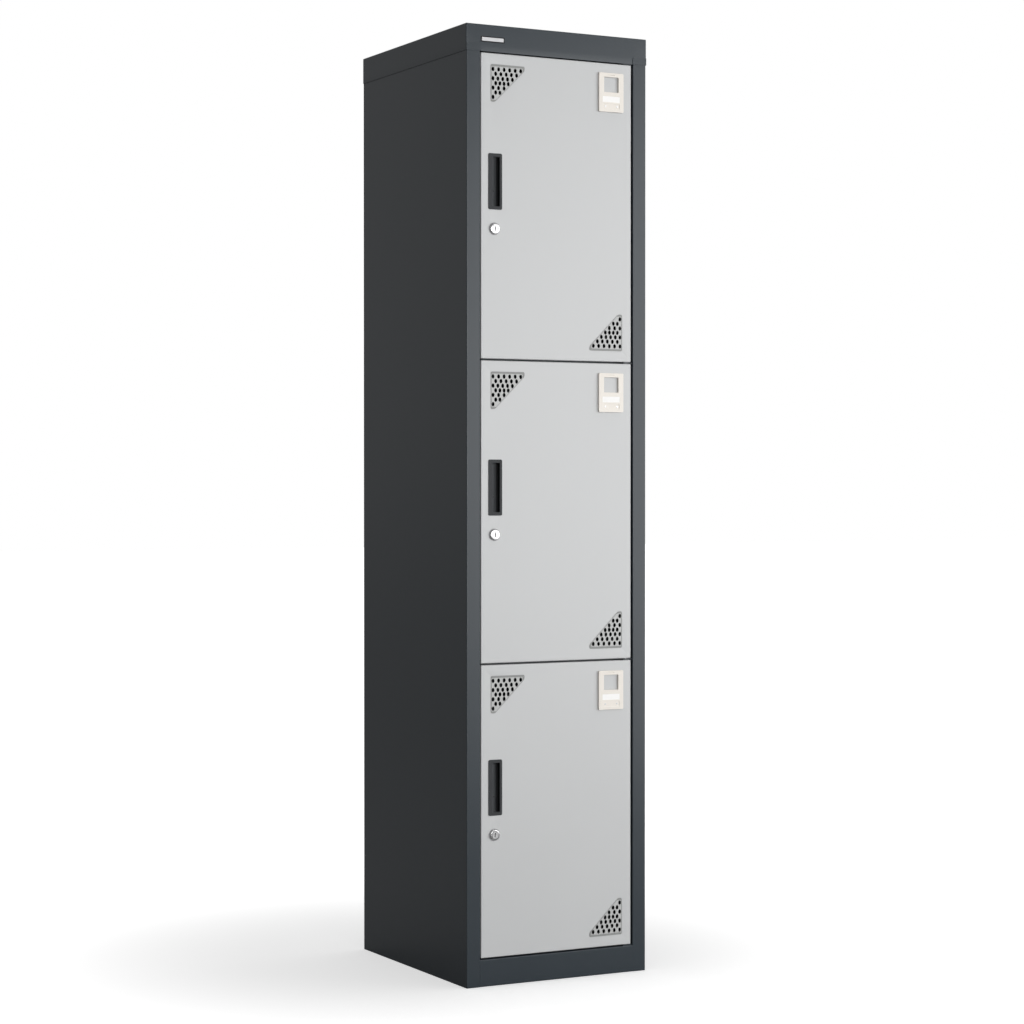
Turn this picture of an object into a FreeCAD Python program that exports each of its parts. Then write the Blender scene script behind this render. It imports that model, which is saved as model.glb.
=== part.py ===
import FreeCAD, Part

import math
import os

Vector = FreeCAD.Vector

# Three-tier steel locker. Millimetres, +Z up, the doors face -Y, +X is to the right
# of someone who faces the doors. The origin is on the floor, below the middle of the
# whole outline, card holders included.

# Overall sizes
CABINET_WIDTH = 390.0           # across the side skirts of the cap
CABINET_DEPTH = 460.0           # from the face of the stiles to the rear skirt of the cap
CABINET_HEIGHT = 1800.0

# Sheet thicknesses
SHEET = 1.0                     # side panels, back, rails, shelves and doors
CAP_SHEET = 1.2                 # cap, which laps over the panels like a lid

# Front frame
STILE_WIDTH = 29.6              # from the outside of the cap skirt to the door opening
CAP_SKIRT = 50.2                # height of the cap's skirts
LAP_HEIGHT = 12.6               # joggled corner of the front skirt, over the stile's top
LAP_CORNER_RADIUS = 6.0
STILE_LAP_GAP = 1.4             # from the stile's top edge to the top of the joggle
PLINTH_HEIGHT = 51.0
SEAM = 0.4                      # open seam at each end of the plinth rail
STOP_DEPTH = 22.0               # from the stile's face to the door-stop flange
STOP_WIDTH = 12.0
REAR_FLANGE = 15.0
FOOT_FLANGE = 20.0
PLINTH_LIP = 11.0

# Shelves and floor
SHELF_RISE = 12.0               # shelf surface above the middle of the gap it hides
SHELF_APRON = 25.0              # front flange, which hides the gap between two doors
SHELF_EAR = 15.0                # side flanges, welded to the side panels

# Door gaps and heights
TOP_GAP = 2.0
DOOR_GAP = 3.3
BOTTOM_GAP = 2.7
LATCH_GAP = 2.0
HINGE_GAP = 3.6
MIDDLE_DOOR_SHORTER = 3.9       # than the top door
BOTTOM_DOOR_SHORTER = 21.9      # than the top door

# Door pan
DOOR_SETBACK = 1.0              # door face behind the face of the stiles
DOOR_DEPTH = 17.0
DOOR_EDGE_RADIUS = 2.0
STIFFENER_WIDTH = 40.0
STIFFENER_DEPTH = 10.0
STIFFENER_FOOT = 10.0
STIFFENER_MARGIN = 16.0

# Pivot hinges
PIVOT_INSET = 8.0               # axis from the door's hinge edge, and behind its face
PIN_RADIUS = 3.0
PIN_REACH = 9.0                 # beyond the edge of the door
PIN_RUNNING_FIT = 0.05          # radial
BUSH_WALL = 2.0
BUSH_COLLAR_RADIUS = 7.0
BUSH_COLLAR = 0.5
BUSH_LENGTH = 11.0
HINGE_PLATE_CLEARANCE = 0.9     # between a door's edge and the plate
HINGE_PLATE_DEPTH = 15.0
HINGE_PLATE_START = 3.0
HINGE_PLATE_NOSE = 8.0          # plate beyond the pivot

# Rubber door buffers
BUFFER_RADIUS = 4.0
BUFFER_GAP = 0.5                # to the closed door
BUFFER_INSET = 5.0              # centre from the edge of the stile
BUFFER_FROM_EDGE = 60.0         # centre from the top and bottom of the door

# Triangular vents
VENT_INSET = 20.5               # corner from the side and from the end of the door
VENT_WIDTH = 71.5
VENT_HEIGHT = 70.5
VENT_BLUNT = 8.5                # flat length at each narrow tip
VENT_CORNER_RADIUS = 3.0
VENT_LAP = 0.9                  # flange over the door sheet
VENT_PROUD = 0.8
VENT_PLUG = 2.2                 # behind the door face
VENT_BEAD = 1.0                 # raised border
VENT_FIELD_DROP = 0.4
HOLE_WIDTH = 6.0
HOLE_HEIGHT = 8.2
HOLE_ROWS = (6, 5, 5, 4, 3, 2, 1)
HOLE_ROW_PITCH = 8.7
HOLE_FIRST_ROW = 9.2            # below the vent's straight top edge
HOLE_FIRST_COLUMN = 4.6         # from the vent's straight side edge
HOLE_STAGGER = 5.7              # shift of every second row
HOLE_TO_SLOPE = 7.4             # last hole of a row to the sloping edge

# Pull handle
HANDLE_DROP_RATIO = 0.4195      # handle centre below the door top, of the door's height
HANDLE_INSET = 29.6             # centre from the door's latch edge
HANDLE_WIDTH = 28.9
HANDLE_HEIGHT = 105.0
HANDLE_PROUD = 1.2
HANDLE_CORNER_RADIUS = 3.0
MOUTH_WIDTH = 16.4
MOUTH_HEIGHT = 93.0
MOUTH_SHIFT = 1.5               # mouth's centre towards the hinge side
MOUTH_CORNER_RADIUS = 1.5
CUP_DEPTH = 12.0                # behind the door face
CUP_UNDERCUT = 1.9
CUP_FLOOR = 5.5                 # flat floor at the deep side
CUP_WALL = 1.6
HANDLE_SCREW_RADIUS = 1.8
HANDLE_SCREW_DROP = 17.5
HANDLE_SCREW_INSET = 5.5        # from the shallow edge of the mouth
HANDLE_SCREW_LENGTH = 8.0

# Cam lock
LOCK_DROP = 88.4                # below the handle's centre
LOCK_INSET = 27.8               # centre from the door's latch edge
BEZEL_RADIUS = 11.5
BEZEL_FACE_RADIUS = 9.4
BEZEL_PROUD = 5.0               # of the door face
BEZEL_RIM = 2.2
BARREL_RADIUS = 9.0
BARREL_LENGTH = 19.0            # behind the door face
PLUG_RADIUS = 6.5
PLUG_RUNNING_FIT = 0.05         # radial
PLUG_SINK = 0.4                 # plug's face behind the bezel's face
KEYWAY_HEIGHT = 8.0
KEYWAY_WIDTH = 2.2
KEYWAY_DEPTH = 7.0
CAM_BEHIND_STOP = 0.8
CAM_SHEET = 2.5
CAM_WIDTH = 16.0
CAM_REACH = 26.5                # from the lock's axis to the end of the cam
CAM_SQUARE = 7.0
CAM_SCREW_HEAD_RADIUS = 4.5
CAM_SCREW_HEAD = 2.0
CAM_SCREW_SHANK_RADIUS = 1.5
CAM_SCREW_SHANK = 8.0
NUT_FLATS = 26.0
NUT_HEIGHT = 4.0

# Card holder
HOLDER_WIDTH = 54.0
HOLDER_HEIGHT = 74.5
HOLDER_THICKNESS = 5.0
HOLDER_INSET = 19.8             # from the door's hinge edge
HOLDER_DROP = 19.0              # from the door's top edge
HOLDER_CORNER_RADIUS = 2.0
HOLDER_EDGE_RADIUS = 1.2
WINDOW_WIDTH = 32.0
WINDOW_HEIGHT = 29.0
WINDOW_DROP = 7.9
CARD_WIDTH = 38.0
CARD_HEIGHT = 11.0
CARD_DROP = 44.8
CARD_THICKNESS = 0.6
CARD_SINK = 0.2                 # card's face below the holder's face
RIVET_RECESS_WIDTH = 36.0
RIVET_RECESS_HEIGHT = 10.0
RIVET_RECESS_DEPTH = 0.8
RIVET_DROP = 63.7
RIVET_SPACING = 25.5
RIVET_RADIUS = 1.6
RIVET_HEAD = 0.5
RIVET_TAIL = 1.5                # behind the door sheet
RIVET_TAIL_RADIUS = 2.6

# Blank badge on the cap
BADGE_WIDTH = 49.6
BADGE_HEIGHT = 10.6
BADGE_THICKNESS = 0.8
BADGE_INSET = 30.9              # from the cap's left edge
BADGE_DROP = 22.2               # from the top of the cabinet

# Wall-fixing holes in the back
WALL_HOLE_RADIUS = 4.0
WALL_HOLE_SPACING_X = 260.0
WALL_HOLE_LOW = 300.0
WALL_HOLE_FROM_TOP = 300.0

# Places worked out from the sizes above
HOLDER_PROUD = HOLDER_THICKNESS - DOOR_SETBACK
STILE_Y = -(CABINET_DEPTH + HOLDER_PROUD) / 2.0 + HOLDER_PROUD
HALF_CAP = CABINET_WIDTH / 2.0
HALF_BODY = HALF_CAP - CAP_SHEET
HALF_INSIDE = HALF_BODY - SHEET
HALF_OPENING = HALF_CAP - STILE_WIDTH
BACK_FACE = CABINET_DEPTH - CAP_SHEET - SHEET
SHELF_BACK = BACK_FACE - SHEET
APRON_DEPTH = STOP_DEPTH + SHEET
CAP_UNDERSIDE = CABINET_HEIGHT - CAP_SHEET
HEADER_BOTTOM = CABINET_HEIGHT - CAP_SKIRT
LAP_TOP = HEADER_BOTTOM + LAP_HEIGHT
STILE_TOP = LAP_TOP - STILE_LAP_GAP
DOOR_LEFT = -HALF_OPENING + LATCH_GAP
DOOR_RIGHT = HALF_OPENING - HINGE_GAP
DOOR_BACK = DOOR_SETBACK + DOOR_DEPTH
PIVOT_X = DOOR_RIGHT - PIVOT_INSET
PIVOT_DEPTH = DOOR_SETBACK + PIVOT_INSET
BUSH_RADIUS = PIN_RADIUS + PIN_RUNNING_FIT + BUSH_WALL
CAM_FRONT = STOP_DEPTH + SHEET + CAM_BEHIND_STOP
CAM_BACK = CAM_FRONT + CAM_SHEET


class Door:
    """The place of one door, and of what is mounted on it."""

    def __init__(self, name, bottom, height):
        self.name = name
        self.bottom = bottom
        self.top = bottom + height
        self.handle_z = self.top - HANDLE_DROP_RATIO * height
        self.lock_z = self.handle_z - LOCK_DROP
        self.holder_top = self.top - HOLDER_DROP


def stacked_doors():
    """The three doors from the bottom up, sharing the height between plinth and cap."""
    clear_height = HEADER_BOTTOM - TOP_GAP - 2.0 * DOOR_GAP - BOTTOM_GAP - PLINTH_HEIGHT
    top_height = (clear_height + MIDDLE_DOOR_SHORTER + BOTTOM_DOOR_SHORTER) / 3.0
    heights = (
        ("bottom", top_height - BOTTOM_DOOR_SHORTER),
        ("middle", top_height - MIDDLE_DOOR_SHORTER),
        ("top", top_height),
    )
    doors = []
    bottom = PLINTH_HEIGHT + BOTTOM_GAP
    for name, height in heights:
        doors.append(Door(name, bottom, height))
        bottom += height + DOOR_GAP
    return doors


DOORS = stacked_doors()


# Shape helpers

def block(x_range, depth_range, z_range):
    """A block; depths are measured back from the face of the stiles."""
    width = x_range[1] - x_range[0]
    depth = depth_range[1] - depth_range[0]
    height = z_range[1] - z_range[0]
    corner = Vector(x_range[0], STILE_Y + depth_range[0], z_range[0])
    return Part.makeBox(width, depth, height, corner)


def around(centre, size):
    """The two ends of a length about its middle."""
    return (centre - size / 2.0, centre + size / 2.0)


def rod(radius, x, z, depth_range):
    """A cylinder along Y."""
    length = depth_range[1] - depth_range[0]
    start = Vector(x, STILE_Y + depth_range[0], z)
    return Part.makeCylinder(radius, length, start, Vector(0, 1, 0))


def post(radius, x, depth, z_range):
    """A cylinder along Z."""
    start = Vector(x, STILE_Y + depth, z_range[0])
    return Part.makeCylinder(radius, z_range[1] - z_range[0], start, Vector(0, 0, 1))


def joined(shapes):
    """One solid from shapes that touch or overlap."""
    return shapes[0].multiFuse(shapes[1:]).removeSplitter()


def group(shapes):
    """Separate solids that share one node."""
    return Part.makeCompound(shapes)


def on_plane(edge, axis, value):
    """Whether every end of an edge lies on a plane across one axis."""
    return all(abs(vertex.Point[axis] - value) < 1e-6 for vertex in edge.Vertexes)


def runs_along(edge, axis):
    """Whether a straight edge is parallel to one axis."""
    first, last = edge.Vertexes[0].Point, edge.Vertexes[-1].Point
    return all(abs(first[i] - last[i]) < 1e-6 for i in range(3) if i != axis)


def rounded_plate(x_range, depth_range, z_range, radius):
    """A block whose four edges along Y are rounded."""
    plate = block(x_range, depth_range, z_range)
    corners = [edge for edge in plate.Edges if runs_along(edge, 1)]
    return plate.makeFillet(radius, corners)


def soft_front(shape, radius):
    """The shape with the edges of its front face rounded."""
    front = shape.BoundBox.YMin
    rim = [edge for edge in shape.Edges if on_plane(edge, 1, front)]
    return shape.makeFillet(radius, rim)


def prism_along_y(points, depth_range):
    """A straight prism; its outline holds x and z."""
    outline = [Vector(x, STILE_Y + depth_range[0], z) for x, z in points]
    face = Part.Face(Part.makePolygon(outline + outline[:1]))
    return face.extrude(Vector(0, depth_range[1] - depth_range[0], 0))


def prism_along_z(points, z_range):
    """A straight prism; its outline holds x and depth."""
    outline = [Vector(x, STILE_Y + depth, z_range[0]) for x, depth in points]
    face = Part.Face(Part.makePolygon(outline + outline[:1]))
    return face.extrude(Vector(0, 0, z_range[1] - z_range[0]))


# Cabinet

def side_panel(side):
    """A side wall folded into the stile, its return and the door-stop flange."""
    full_height = (0.0, CAP_UNDERSIDE)
    stile_height = (0.0, STILE_TOP)
    opening = side * HALF_OPENING

    def span(inner, outer):
        return tuple(sorted((side * inner, side * outer)))

    wall = block(span(HALF_INSIDE, HALF_BODY), (SHEET, BACK_FACE), full_height)
    notch = block(span(HALF_INSIDE, HALF_BODY), (0.0, CAP_SHEET), (STILE_TOP, CAP_UNDERSIDE))
    stile = block(span(HALF_OPENING, HALF_BODY), (0.0, SHEET), stile_height)
    fold = span(HALF_OPENING, HALF_OPENING + SHEET)
    stile_return = block(fold, (0.0, STOP_DEPTH + SHEET), stile_height)
    stop = block(
        tuple(sorted((opening - side * STOP_WIDTH, opening))),
        (STOP_DEPTH, STOP_DEPTH + SHEET),
        (PLINTH_HEIGHT, HEADER_BOTTOM),
    )
    rear = block(
        span(HALF_INSIDE - REAR_FLANGE, HALF_INSIDE),
        (BACK_FACE - SHEET, BACK_FACE),
        full_height,
    )
    foot = block(
        span(HALF_INSIDE - FOOT_FLANGE, HALF_INSIDE),
        (APRON_DEPTH + SHEET, BACK_FACE),
        (0.0, SHEET),
    )
    return joined([wall.cut(notch), stile, stile_return, stop, rear, foot])


def back_panel():
    """The flat back, with four wall-fixing holes."""
    sheet = block((-HALF_BODY, HALF_BODY), (BACK_FACE, BACK_FACE + SHEET), (0.0, CAP_UNDERSIDE))
    holes = []
    for side in (-1, 1):
        for z in (WALL_HOLE_LOW, CABINET_HEIGHT - WALL_HOLE_FROM_TOP):
            x = side * WALL_HOLE_SPACING_X / 2.0
            holes.append(rod(WALL_HOLE_RADIUS, x, z, (BACK_FACE - 1.0, CABINET_DEPTH)))
    return sheet.cut(group(holes))


def cap_corner_lap(side):
    """The joggled corner of the front skirt, over the top of a stile."""
    inner_x = side * (HALF_OPENING - CAP_SHEET)
    x_range = tuple(sorted((inner_x, side * HALF_CAP)))
    lap = block(x_range, (-CAP_SHEET, 0.0), (HEADER_BOTTOM, LAP_TOP + CAP_SHEET))
    corner = [
        edge for edge in lap.Edges
        if runs_along(edge, 1) and on_plane(edge, 0, inner_x)
        and on_plane(edge, 2, LAP_TOP + CAP_SHEET)
    ]
    return lap.makeFillet(LAP_CORNER_RADIUS, corner)


def top_cap():
    """The lid-shaped cap: a top, four skirts and two joggled front corners."""
    skirt_height = (HEADER_BOTTOM, CABINET_HEIGHT)
    whole_depth = (0.0, CABINET_DEPTH)
    pieces = [
        block((-HALF_CAP, HALF_CAP), whole_depth, (CAP_UNDERSIDE, CABINET_HEIGHT)),
        block((-HALF_CAP, -HALF_BODY), whole_depth, skirt_height),
        block((HALF_BODY, HALF_CAP), whole_depth, skirt_height),
        block((-HALF_CAP, HALF_CAP), (BACK_FACE + SHEET, CABINET_DEPTH), skirt_height),
        block((-HALF_CAP, HALF_CAP), (0.0, CAP_SHEET), (LAP_TOP, CABINET_HEIGHT)),
        block((-HALF_OPENING, HALF_OPENING), (0.0, CAP_SHEET), (HEADER_BOTTOM, LAP_TOP)),
        cap_corner_lap(-1),
        cap_corner_lap(1),
    ]
    return joined(pieces)


def header_rail():
    """The rail behind the cap's front skirt: soffit, front flange and door stop."""
    x_range = (-HALF_OPENING, HALF_OPENING)
    soffit = block(x_range, (CAP_SHEET, APRON_DEPTH), (HEADER_BOTTOM, HEADER_BOTTOM + SHEET))
    front = block(
        x_range, (CAP_SHEET, CAP_SHEET + SHEET), (HEADER_BOTTOM, CAP_UNDERSIDE - STOP_WIDTH)
    )
    stop_half = HALF_OPENING - STOP_WIDTH
    stop = block(
        (-stop_half, stop_half),
        (STOP_DEPTH, APRON_DEPTH),
        (HEADER_BOTTOM - STOP_WIDTH, HEADER_BOTTOM + SHEET),
    )
    return joined([soffit, front, stop])


def shelf(gap_middle):
    """A folded shelf whose apron hides the gap in front of it."""
    surface = gap_middle + SHELF_RISE
    x_range = (-HALF_INSIDE, HALF_INSIDE)
    depth_range = (APRON_DEPTH, SHELF_BACK)
    pieces = [
        block(x_range, depth_range, (surface - SHEET, surface)),
        block(x_range, (APRON_DEPTH, APRON_DEPTH + SHEET), (surface - SHELF_APRON, surface)),
    ]
    for ear in ((-HALF_INSIDE, -HALF_INSIDE + SHEET), (HALF_INSIDE - SHEET, HALF_INSIDE)):
        pieces.append(block(ear, depth_range, (surface - SHELF_EAR, surface)))
    return joined(pieces)


def plinth_rail():
    """The rail under the bottom door, folded back at its top and at the floor."""
    half = HALF_OPENING - SEAM
    x_range = (-half, half)
    pieces = [
        block(x_range, (0.0, SHEET), (0.0, PLINTH_HEIGHT)),
        block(x_range, (0.0, STOP_DEPTH), (PLINTH_HEIGHT - SHEET, PLINTH_HEIGHT)),
        block(
            x_range,
            (STOP_DEPTH - SHEET, STOP_DEPTH),
            (PLINTH_HEIGHT - PLINTH_LIP, PLINTH_HEIGHT),
        ),
        block(x_range, (0.0, APRON_DEPTH), (0.0, SHEET)),
    ]
    return joined(pieces)


def hinge_levels():
    """For each hinge plate, its bottom and top, and the bottom and top of its pin."""
    clearance = HINGE_PLATE_CLEARANCE
    lowest, highest = DOORS[0], DOORS[-1]
    levels = [(
        PLINTH_HEIGHT, lowest.bottom - clearance,
        PLINTH_HEIGHT, lowest.bottom + PIN_REACH,
    )]
    for below, above in zip(DOORS[:-1], DOORS[1:]):
        levels.append((
            below.top + clearance, above.bottom - clearance,
            below.top - PIN_REACH, above.bottom + PIN_REACH,
        ))
    levels.append((
        highest.top + clearance, HEADER_BOTTOM,
        highest.top - PIN_REACH, HEADER_BOTTOM,
    ))
    return levels


def hinge_plates():
    """Four plates on the hinge-side stile; each has a hole that its pin fills."""
    plates = []
    for plate_bottom, plate_top, pin_bottom, pin_top in hinge_levels():
        plate = block(
            (PIVOT_X - HINGE_PLATE_NOSE, HALF_OPENING),
            (HINGE_PLATE_START, HINGE_PLATE_START + HINGE_PLATE_DEPTH),
            (plate_bottom, plate_top),
        )
        plates.append(plate.cut(post(PIN_RADIUS, PIVOT_X, PIVOT_DEPTH, (pin_bottom, pin_top))))
    return group(plates)


def hinge_pins():
    """Four fixed pins on one axis; the two between doors carry the door above and below."""
    pins = []
    for _, _, pin_bottom, pin_top in hinge_levels():
        pins.append(post(PIN_RADIUS, PIVOT_X, PIVOT_DEPTH, (pin_bottom, pin_top)))
    return group(pins)


def door_buffers():
    """Rubber discs on the latch-side stop, two for each door."""
    x = -HALF_OPENING + BUFFER_INSET
    depth_range = (DOOR_BACK + BUFFER_GAP, STOP_DEPTH)
    discs = []
    for door in DOORS:
        for z in (door.bottom + BUFFER_FROM_EDGE, door.top - BUFFER_FROM_EDGE):
            discs.append(rod(BUFFER_RADIUS, x, z, depth_range))
    return group(discs)


def blank_badge():
    """A plain plate on the cap's front skirt."""
    left = -HALF_CAP + BADGE_INSET
    top = CABINET_HEIGHT - BADGE_DROP
    return rounded_plate(
        (left, left + BADGE_WIDTH), (-BADGE_THICKNESS, 0.0), (top - BADGE_HEIGHT, top), 1.0
    )


# Vents

def vent_places(door):
    """Each vent's square corner, and the way it opens out from there in x and z."""
    return {
        "upper": (DOOR_LEFT + VENT_INSET, door.top - VENT_INSET, 1, -1),
        "lower": (DOOR_RIGHT - VENT_INSET, door.bottom + VENT_INSET, -1, 1),
    }


def vent_body(place, inset, depth_range):
    """A prism with the vent's outline, moved inwards by inset."""
    corner_x, corner_z, way_x, way_z = place
    slope_inset = inset * (1.0 + math.sqrt(2.0)) - inset
    width = VENT_WIDTH - inset
    height = VENT_HEIGHT - inset
    blunt = VENT_BLUNT - slope_inset
    outline = (
        (inset, inset), (width, inset), (width, blunt + inset / 2.0),
        (blunt + inset / 2.0, height), (inset, height),
    )
    points = [(corner_x + way_x * x, corner_z + way_z * z) for x, z in outline]
    body = prism_along_y(points, depth_range)
    corners = [edge for edge in body.Edges if runs_along(edge, 1)]
    return body.makeFillet(VENT_CORNER_RADIUS - inset, corners)


def vent_holes(place, depth_range):
    """Staggered rows of upright oval holes that keep clear of the sloping edge."""
    corner_x, corner_z, way_x, way_z = place
    slope = (VENT_WIDTH - VENT_BLUNT) / (VENT_HEIGHT - VENT_BLUNT)
    length = depth_range[1] - depth_range[0]
    holes = []
    for row, count in enumerate(HOLE_ROWS):
        down = HOLE_FIRST_ROW + row * HOLE_ROW_PITCH
        first = HOLE_FIRST_COLUMN + HOLE_STAGGER * (row % 2)
        last = VENT_WIDTH - (down - VENT_BLUNT) * slope - HOLE_TO_SLOPE
        pitch = (last - first) / (count - 1) if count > 1 else 0.0
        for column in range(count):
            across = first + column * pitch
            centre = Vector(
                corner_x + way_x * across, STILE_Y + depth_range[0], corner_z + way_z * down
            )
            tall = centre + Vector(0, 0, HOLE_HEIGHT / 2.0)
            wide = centre + Vector(HOLE_WIDTH / 2.0, 0, 0)
            oval = Part.Wire(Part.Ellipse(tall, wide, centre).toShape())
            holes.append(Part.Face(oval).extrude(Vector(0, length, 0)))
    return group(holes)


def vent(place):
    """A triangular insert: lapped flange, plug, raised border and perforated field."""
    front = DOOR_SETBACK - VENT_PROUD
    back = DOOR_SETBACK + VENT_PLUG
    flange = vent_body(place, 0.0, (front, DOOR_SETBACK))
    plug = vent_body(place, VENT_LAP, (DOOR_SETBACK, back))
    field = vent_body(place, VENT_BEAD, (front - 1.0, front + VENT_FIELD_DROP))
    holes = vent_holes(place, (front - 1.0, back + 1.0))
    return joined([flange, plug]).cut(field).cut(holes)


# Doors

def handle_centre_x():
    """The middle of the pull handle's flange."""
    return DOOR_LEFT + HANDLE_INSET


def mouth_edges():
    """The shallow and the deep edge of the handle's mouth."""
    return around(handle_centre_x() + MOUTH_SHIFT, MOUTH_WIDTH)


def cup_body(door):
    """The outside of the handle's cup, from the door face to behind its floor."""
    shallow, deep = mouth_edges()
    deep_wall = deep + CUP_UNDERCUT
    floor = DOOR_SETBACK + CUP_DEPTH + CUP_WALL
    points = (
        (shallow - CUP_WALL, DOOR_SETBACK),
        (shallow - CUP_WALL, DOOR_SETBACK + 2.0 * CUP_WALL),
        (deep_wall - CUP_FLOOR - CUP_WALL, floor),
        (deep_wall + CUP_WALL, floor),
        (deep_wall + CUP_WALL, DOOR_SETBACK),
    )
    return prism_along_z(points, around(door.handle_z, MOUTH_HEIGHT + 2.0 * CUP_WALL))


def cup_hollow(door):
    """The hollow: a ramp from the shallow edge to a floor, undercut at the deep edge."""
    shallow, deep = mouth_edges()
    deep_wall = deep + CUP_UNDERCUT
    lip = DOOR_SETBACK + CUP_WALL
    floor = DOOR_SETBACK + CUP_DEPTH
    points = (
        (shallow, DOOR_SETBACK - HANDLE_PROUD / 2.0),
        (deep_wall - CUP_FLOOR, floor),
        (deep_wall, floor),
        (deep_wall, lip),
        (deep, lip),
        (deep, DOOR_SETBACK - HANDLE_PROUD / 2.0),
    )
    return prism_along_z(points, around(door.handle_z, MOUTH_HEIGHT))


def pull_handle(door):
    """The moulded recessed handle, with the hole for its screw."""
    front = DOOR_SETBACK - HANDLE_PROUD
    flange = rounded_plate(
        around(handle_centre_x(), HANDLE_WIDTH),
        (front, DOOR_SETBACK),
        around(door.handle_z, HANDLE_HEIGHT),
        HANDLE_CORNER_RADIUS,
    )
    flange = soft_front(flange, HANDLE_PROUD / 2.0)
    mouth = rounded_plate(
        mouth_edges(),
        (front - 1.0, DOOR_SETBACK - HANDLE_PROUD / 2.0),
        around(door.handle_z, MOUTH_HEIGHT),
        MOUTH_CORNER_RADIUS,
    )
    handle = joined([flange, cup_body(door)]).cut(mouth).cut(cup_hollow(door))
    return handle.cut(handle_screw(door))


def handle_screw(door):
    """The screw in the ramp of the handle."""
    shallow, deep = mouth_edges()
    ramp_width = deep + CUP_UNDERCUT - CUP_FLOOR - shallow
    ramp_depth = DOOR_SETBACK + CUP_DEPTH * HANDLE_SCREW_INSET / ramp_width
    start = ramp_depth - HANDLE_SCREW_RADIUS / 2.0
    return rod(
        HANDLE_SCREW_RADIUS,
        shallow + HANDLE_SCREW_INSET,
        door.handle_z - HANDLE_SCREW_DROP,
        (start, start + HANDLE_SCREW_LENGTH),
    )


def bush_ends(door):
    """Where each bush enters the door: its edge, and the way into the door."""
    return ((door.bottom, 1.0), (door.top, -1.0))


def hinge_bushes(door):
    """Collared nylon bushes in the bottom and top of the door."""
    bushes = []
    for edge, inwards in bush_ends(door):
        collar = sorted((edge - inwards * BUSH_COLLAR, edge))
        sleeve = sorted((edge, edge + inwards * BUSH_LENGTH))
        bore = (min(collar + sleeve) - 1.0, max(collar + sleeve) + 1.0)
        body = joined([
            post(BUSH_COLLAR_RADIUS, PIVOT_X, PIVOT_DEPTH, collar),
            post(BUSH_RADIUS, PIVOT_X, PIVOT_DEPTH, sleeve),
        ])
        bushes.append(body.cut(post(PIN_RADIUS + PIN_RUNNING_FIT, PIVOT_X, PIVOT_DEPTH, bore)))
    return group(bushes)


def holder_left():
    """The left edge of the card holder."""
    return DOOR_RIGHT - HOLDER_INSET - HOLDER_WIDTH


def rivet_places(door):
    """The two rivets under the name card."""
    middle = holder_left() + HOLDER_WIDTH / 2.0
    z = door.holder_top - RIVET_DROP
    return [(x, z) for x in around(middle, RIVET_SPACING)]


def lock_centre_x():
    """The lock's axis."""
    return DOOR_LEFT + LOCK_INSET


def door_panel(door):
    """A folded pan, with its windows and its holes."""
    outer = block((DOOR_LEFT, DOOR_RIGHT), (DOOR_SETBACK, DOOR_BACK), (door.bottom, door.top))
    corners = [edge for edge in outer.Edges if runs_along(edge, 1)]
    outer = soft_front(outer.makeFillet(DOOR_EDGE_RADIUS, corners), DOOR_EDGE_RADIUS)
    inner = block(
        (DOOR_LEFT + SHEET, DOOR_RIGHT - SHEET),
        (DOOR_SETBACK + SHEET, DOOR_BACK + DOOR_DEPTH),
        (door.bottom + SHEET, door.top - SHEET),
    )
    inside_radius = DOOR_EDGE_RADIUS - SHEET
    corners = [edge for edge in inner.Edges if runs_along(edge, 1)]
    inner = soft_front(inner.makeFillet(inside_radius, corners), inside_radius)
    through = (DOOR_SETBACK - 1.0, DOOR_SETBACK + SHEET + 1.0)
    cuts = [vent_body(place, VENT_LAP, through) for place in vent_places(door).values()]
    cuts.append(cup_body(door))
    cuts.append(rod(BARREL_RADIUS, lock_centre_x(), door.lock_z, through))
    for x, z in rivet_places(door):
        cuts.append(rod(RIVET_RADIUS, x, z, through))
    for edge, inwards in bush_ends(door):
        hole = sorted((edge - inwards, edge + inwards * 2.0 * SHEET))
        cuts.append(post(BUSH_RADIUS, PIVOT_X, PIVOT_DEPTH, hole))
    return outer.cut(inner).cut(group(cuts))


def door_stiffener(door):
    """A hat-shaped channel up the middle of the door's back."""
    middle = (DOOR_LEFT + DOOR_RIGHT) / 2.0
    base = DOOR_SETBACK + SHEET
    crown = base + STIFFENER_DEPTH
    half = STIFFENER_WIDTH / 2.0
    web = half - STIFFENER_FOOT
    points = [
        (-half, base), (-web + SHEET, base), (-web + SHEET, crown - SHEET),
        (web - SHEET, crown - SHEET), (web - SHEET, base), (half, base),
        (half, base + SHEET), (web, base + SHEET), (web, crown),
        (-web, crown), (-web, base + SHEET), (-half, base + SHEET),
    ]
    outline = [(middle + x, depth) for x, depth in points]
    return prism_along_z(outline, (door.bottom + STIFFENER_MARGIN, door.top - STIFFENER_MARGIN))


# Locks

def lock_housing(door):
    """The bezel and barrel, bored for the plug."""
    x = lock_centre_x()
    face = DOOR_SETBACK - BEZEL_PROUD
    shoulder = DOOR_SETBACK - BEZEL_RIM
    cone = Part.makeCone(
        BEZEL_FACE_RADIUS, BEZEL_RADIUS, shoulder - face,
        Vector(x, STILE_Y + face, door.lock_z), Vector(0, 1, 0),
    )
    housing = joined([
        cone,
        rod(BEZEL_RADIUS, x, door.lock_z, (shoulder, DOOR_SETBACK)),
        rod(BARREL_RADIUS, x, door.lock_z, (DOOR_SETBACK, DOOR_SETBACK + BARREL_LENGTH)),
    ])
    bore = rod(
        PLUG_RADIUS + PLUG_RUNNING_FIT, x, door.lock_z,
        (face - 1.0, DOOR_SETBACK + BARREL_LENGTH + 1.0),
    )
    return housing.cut(bore)


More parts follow.
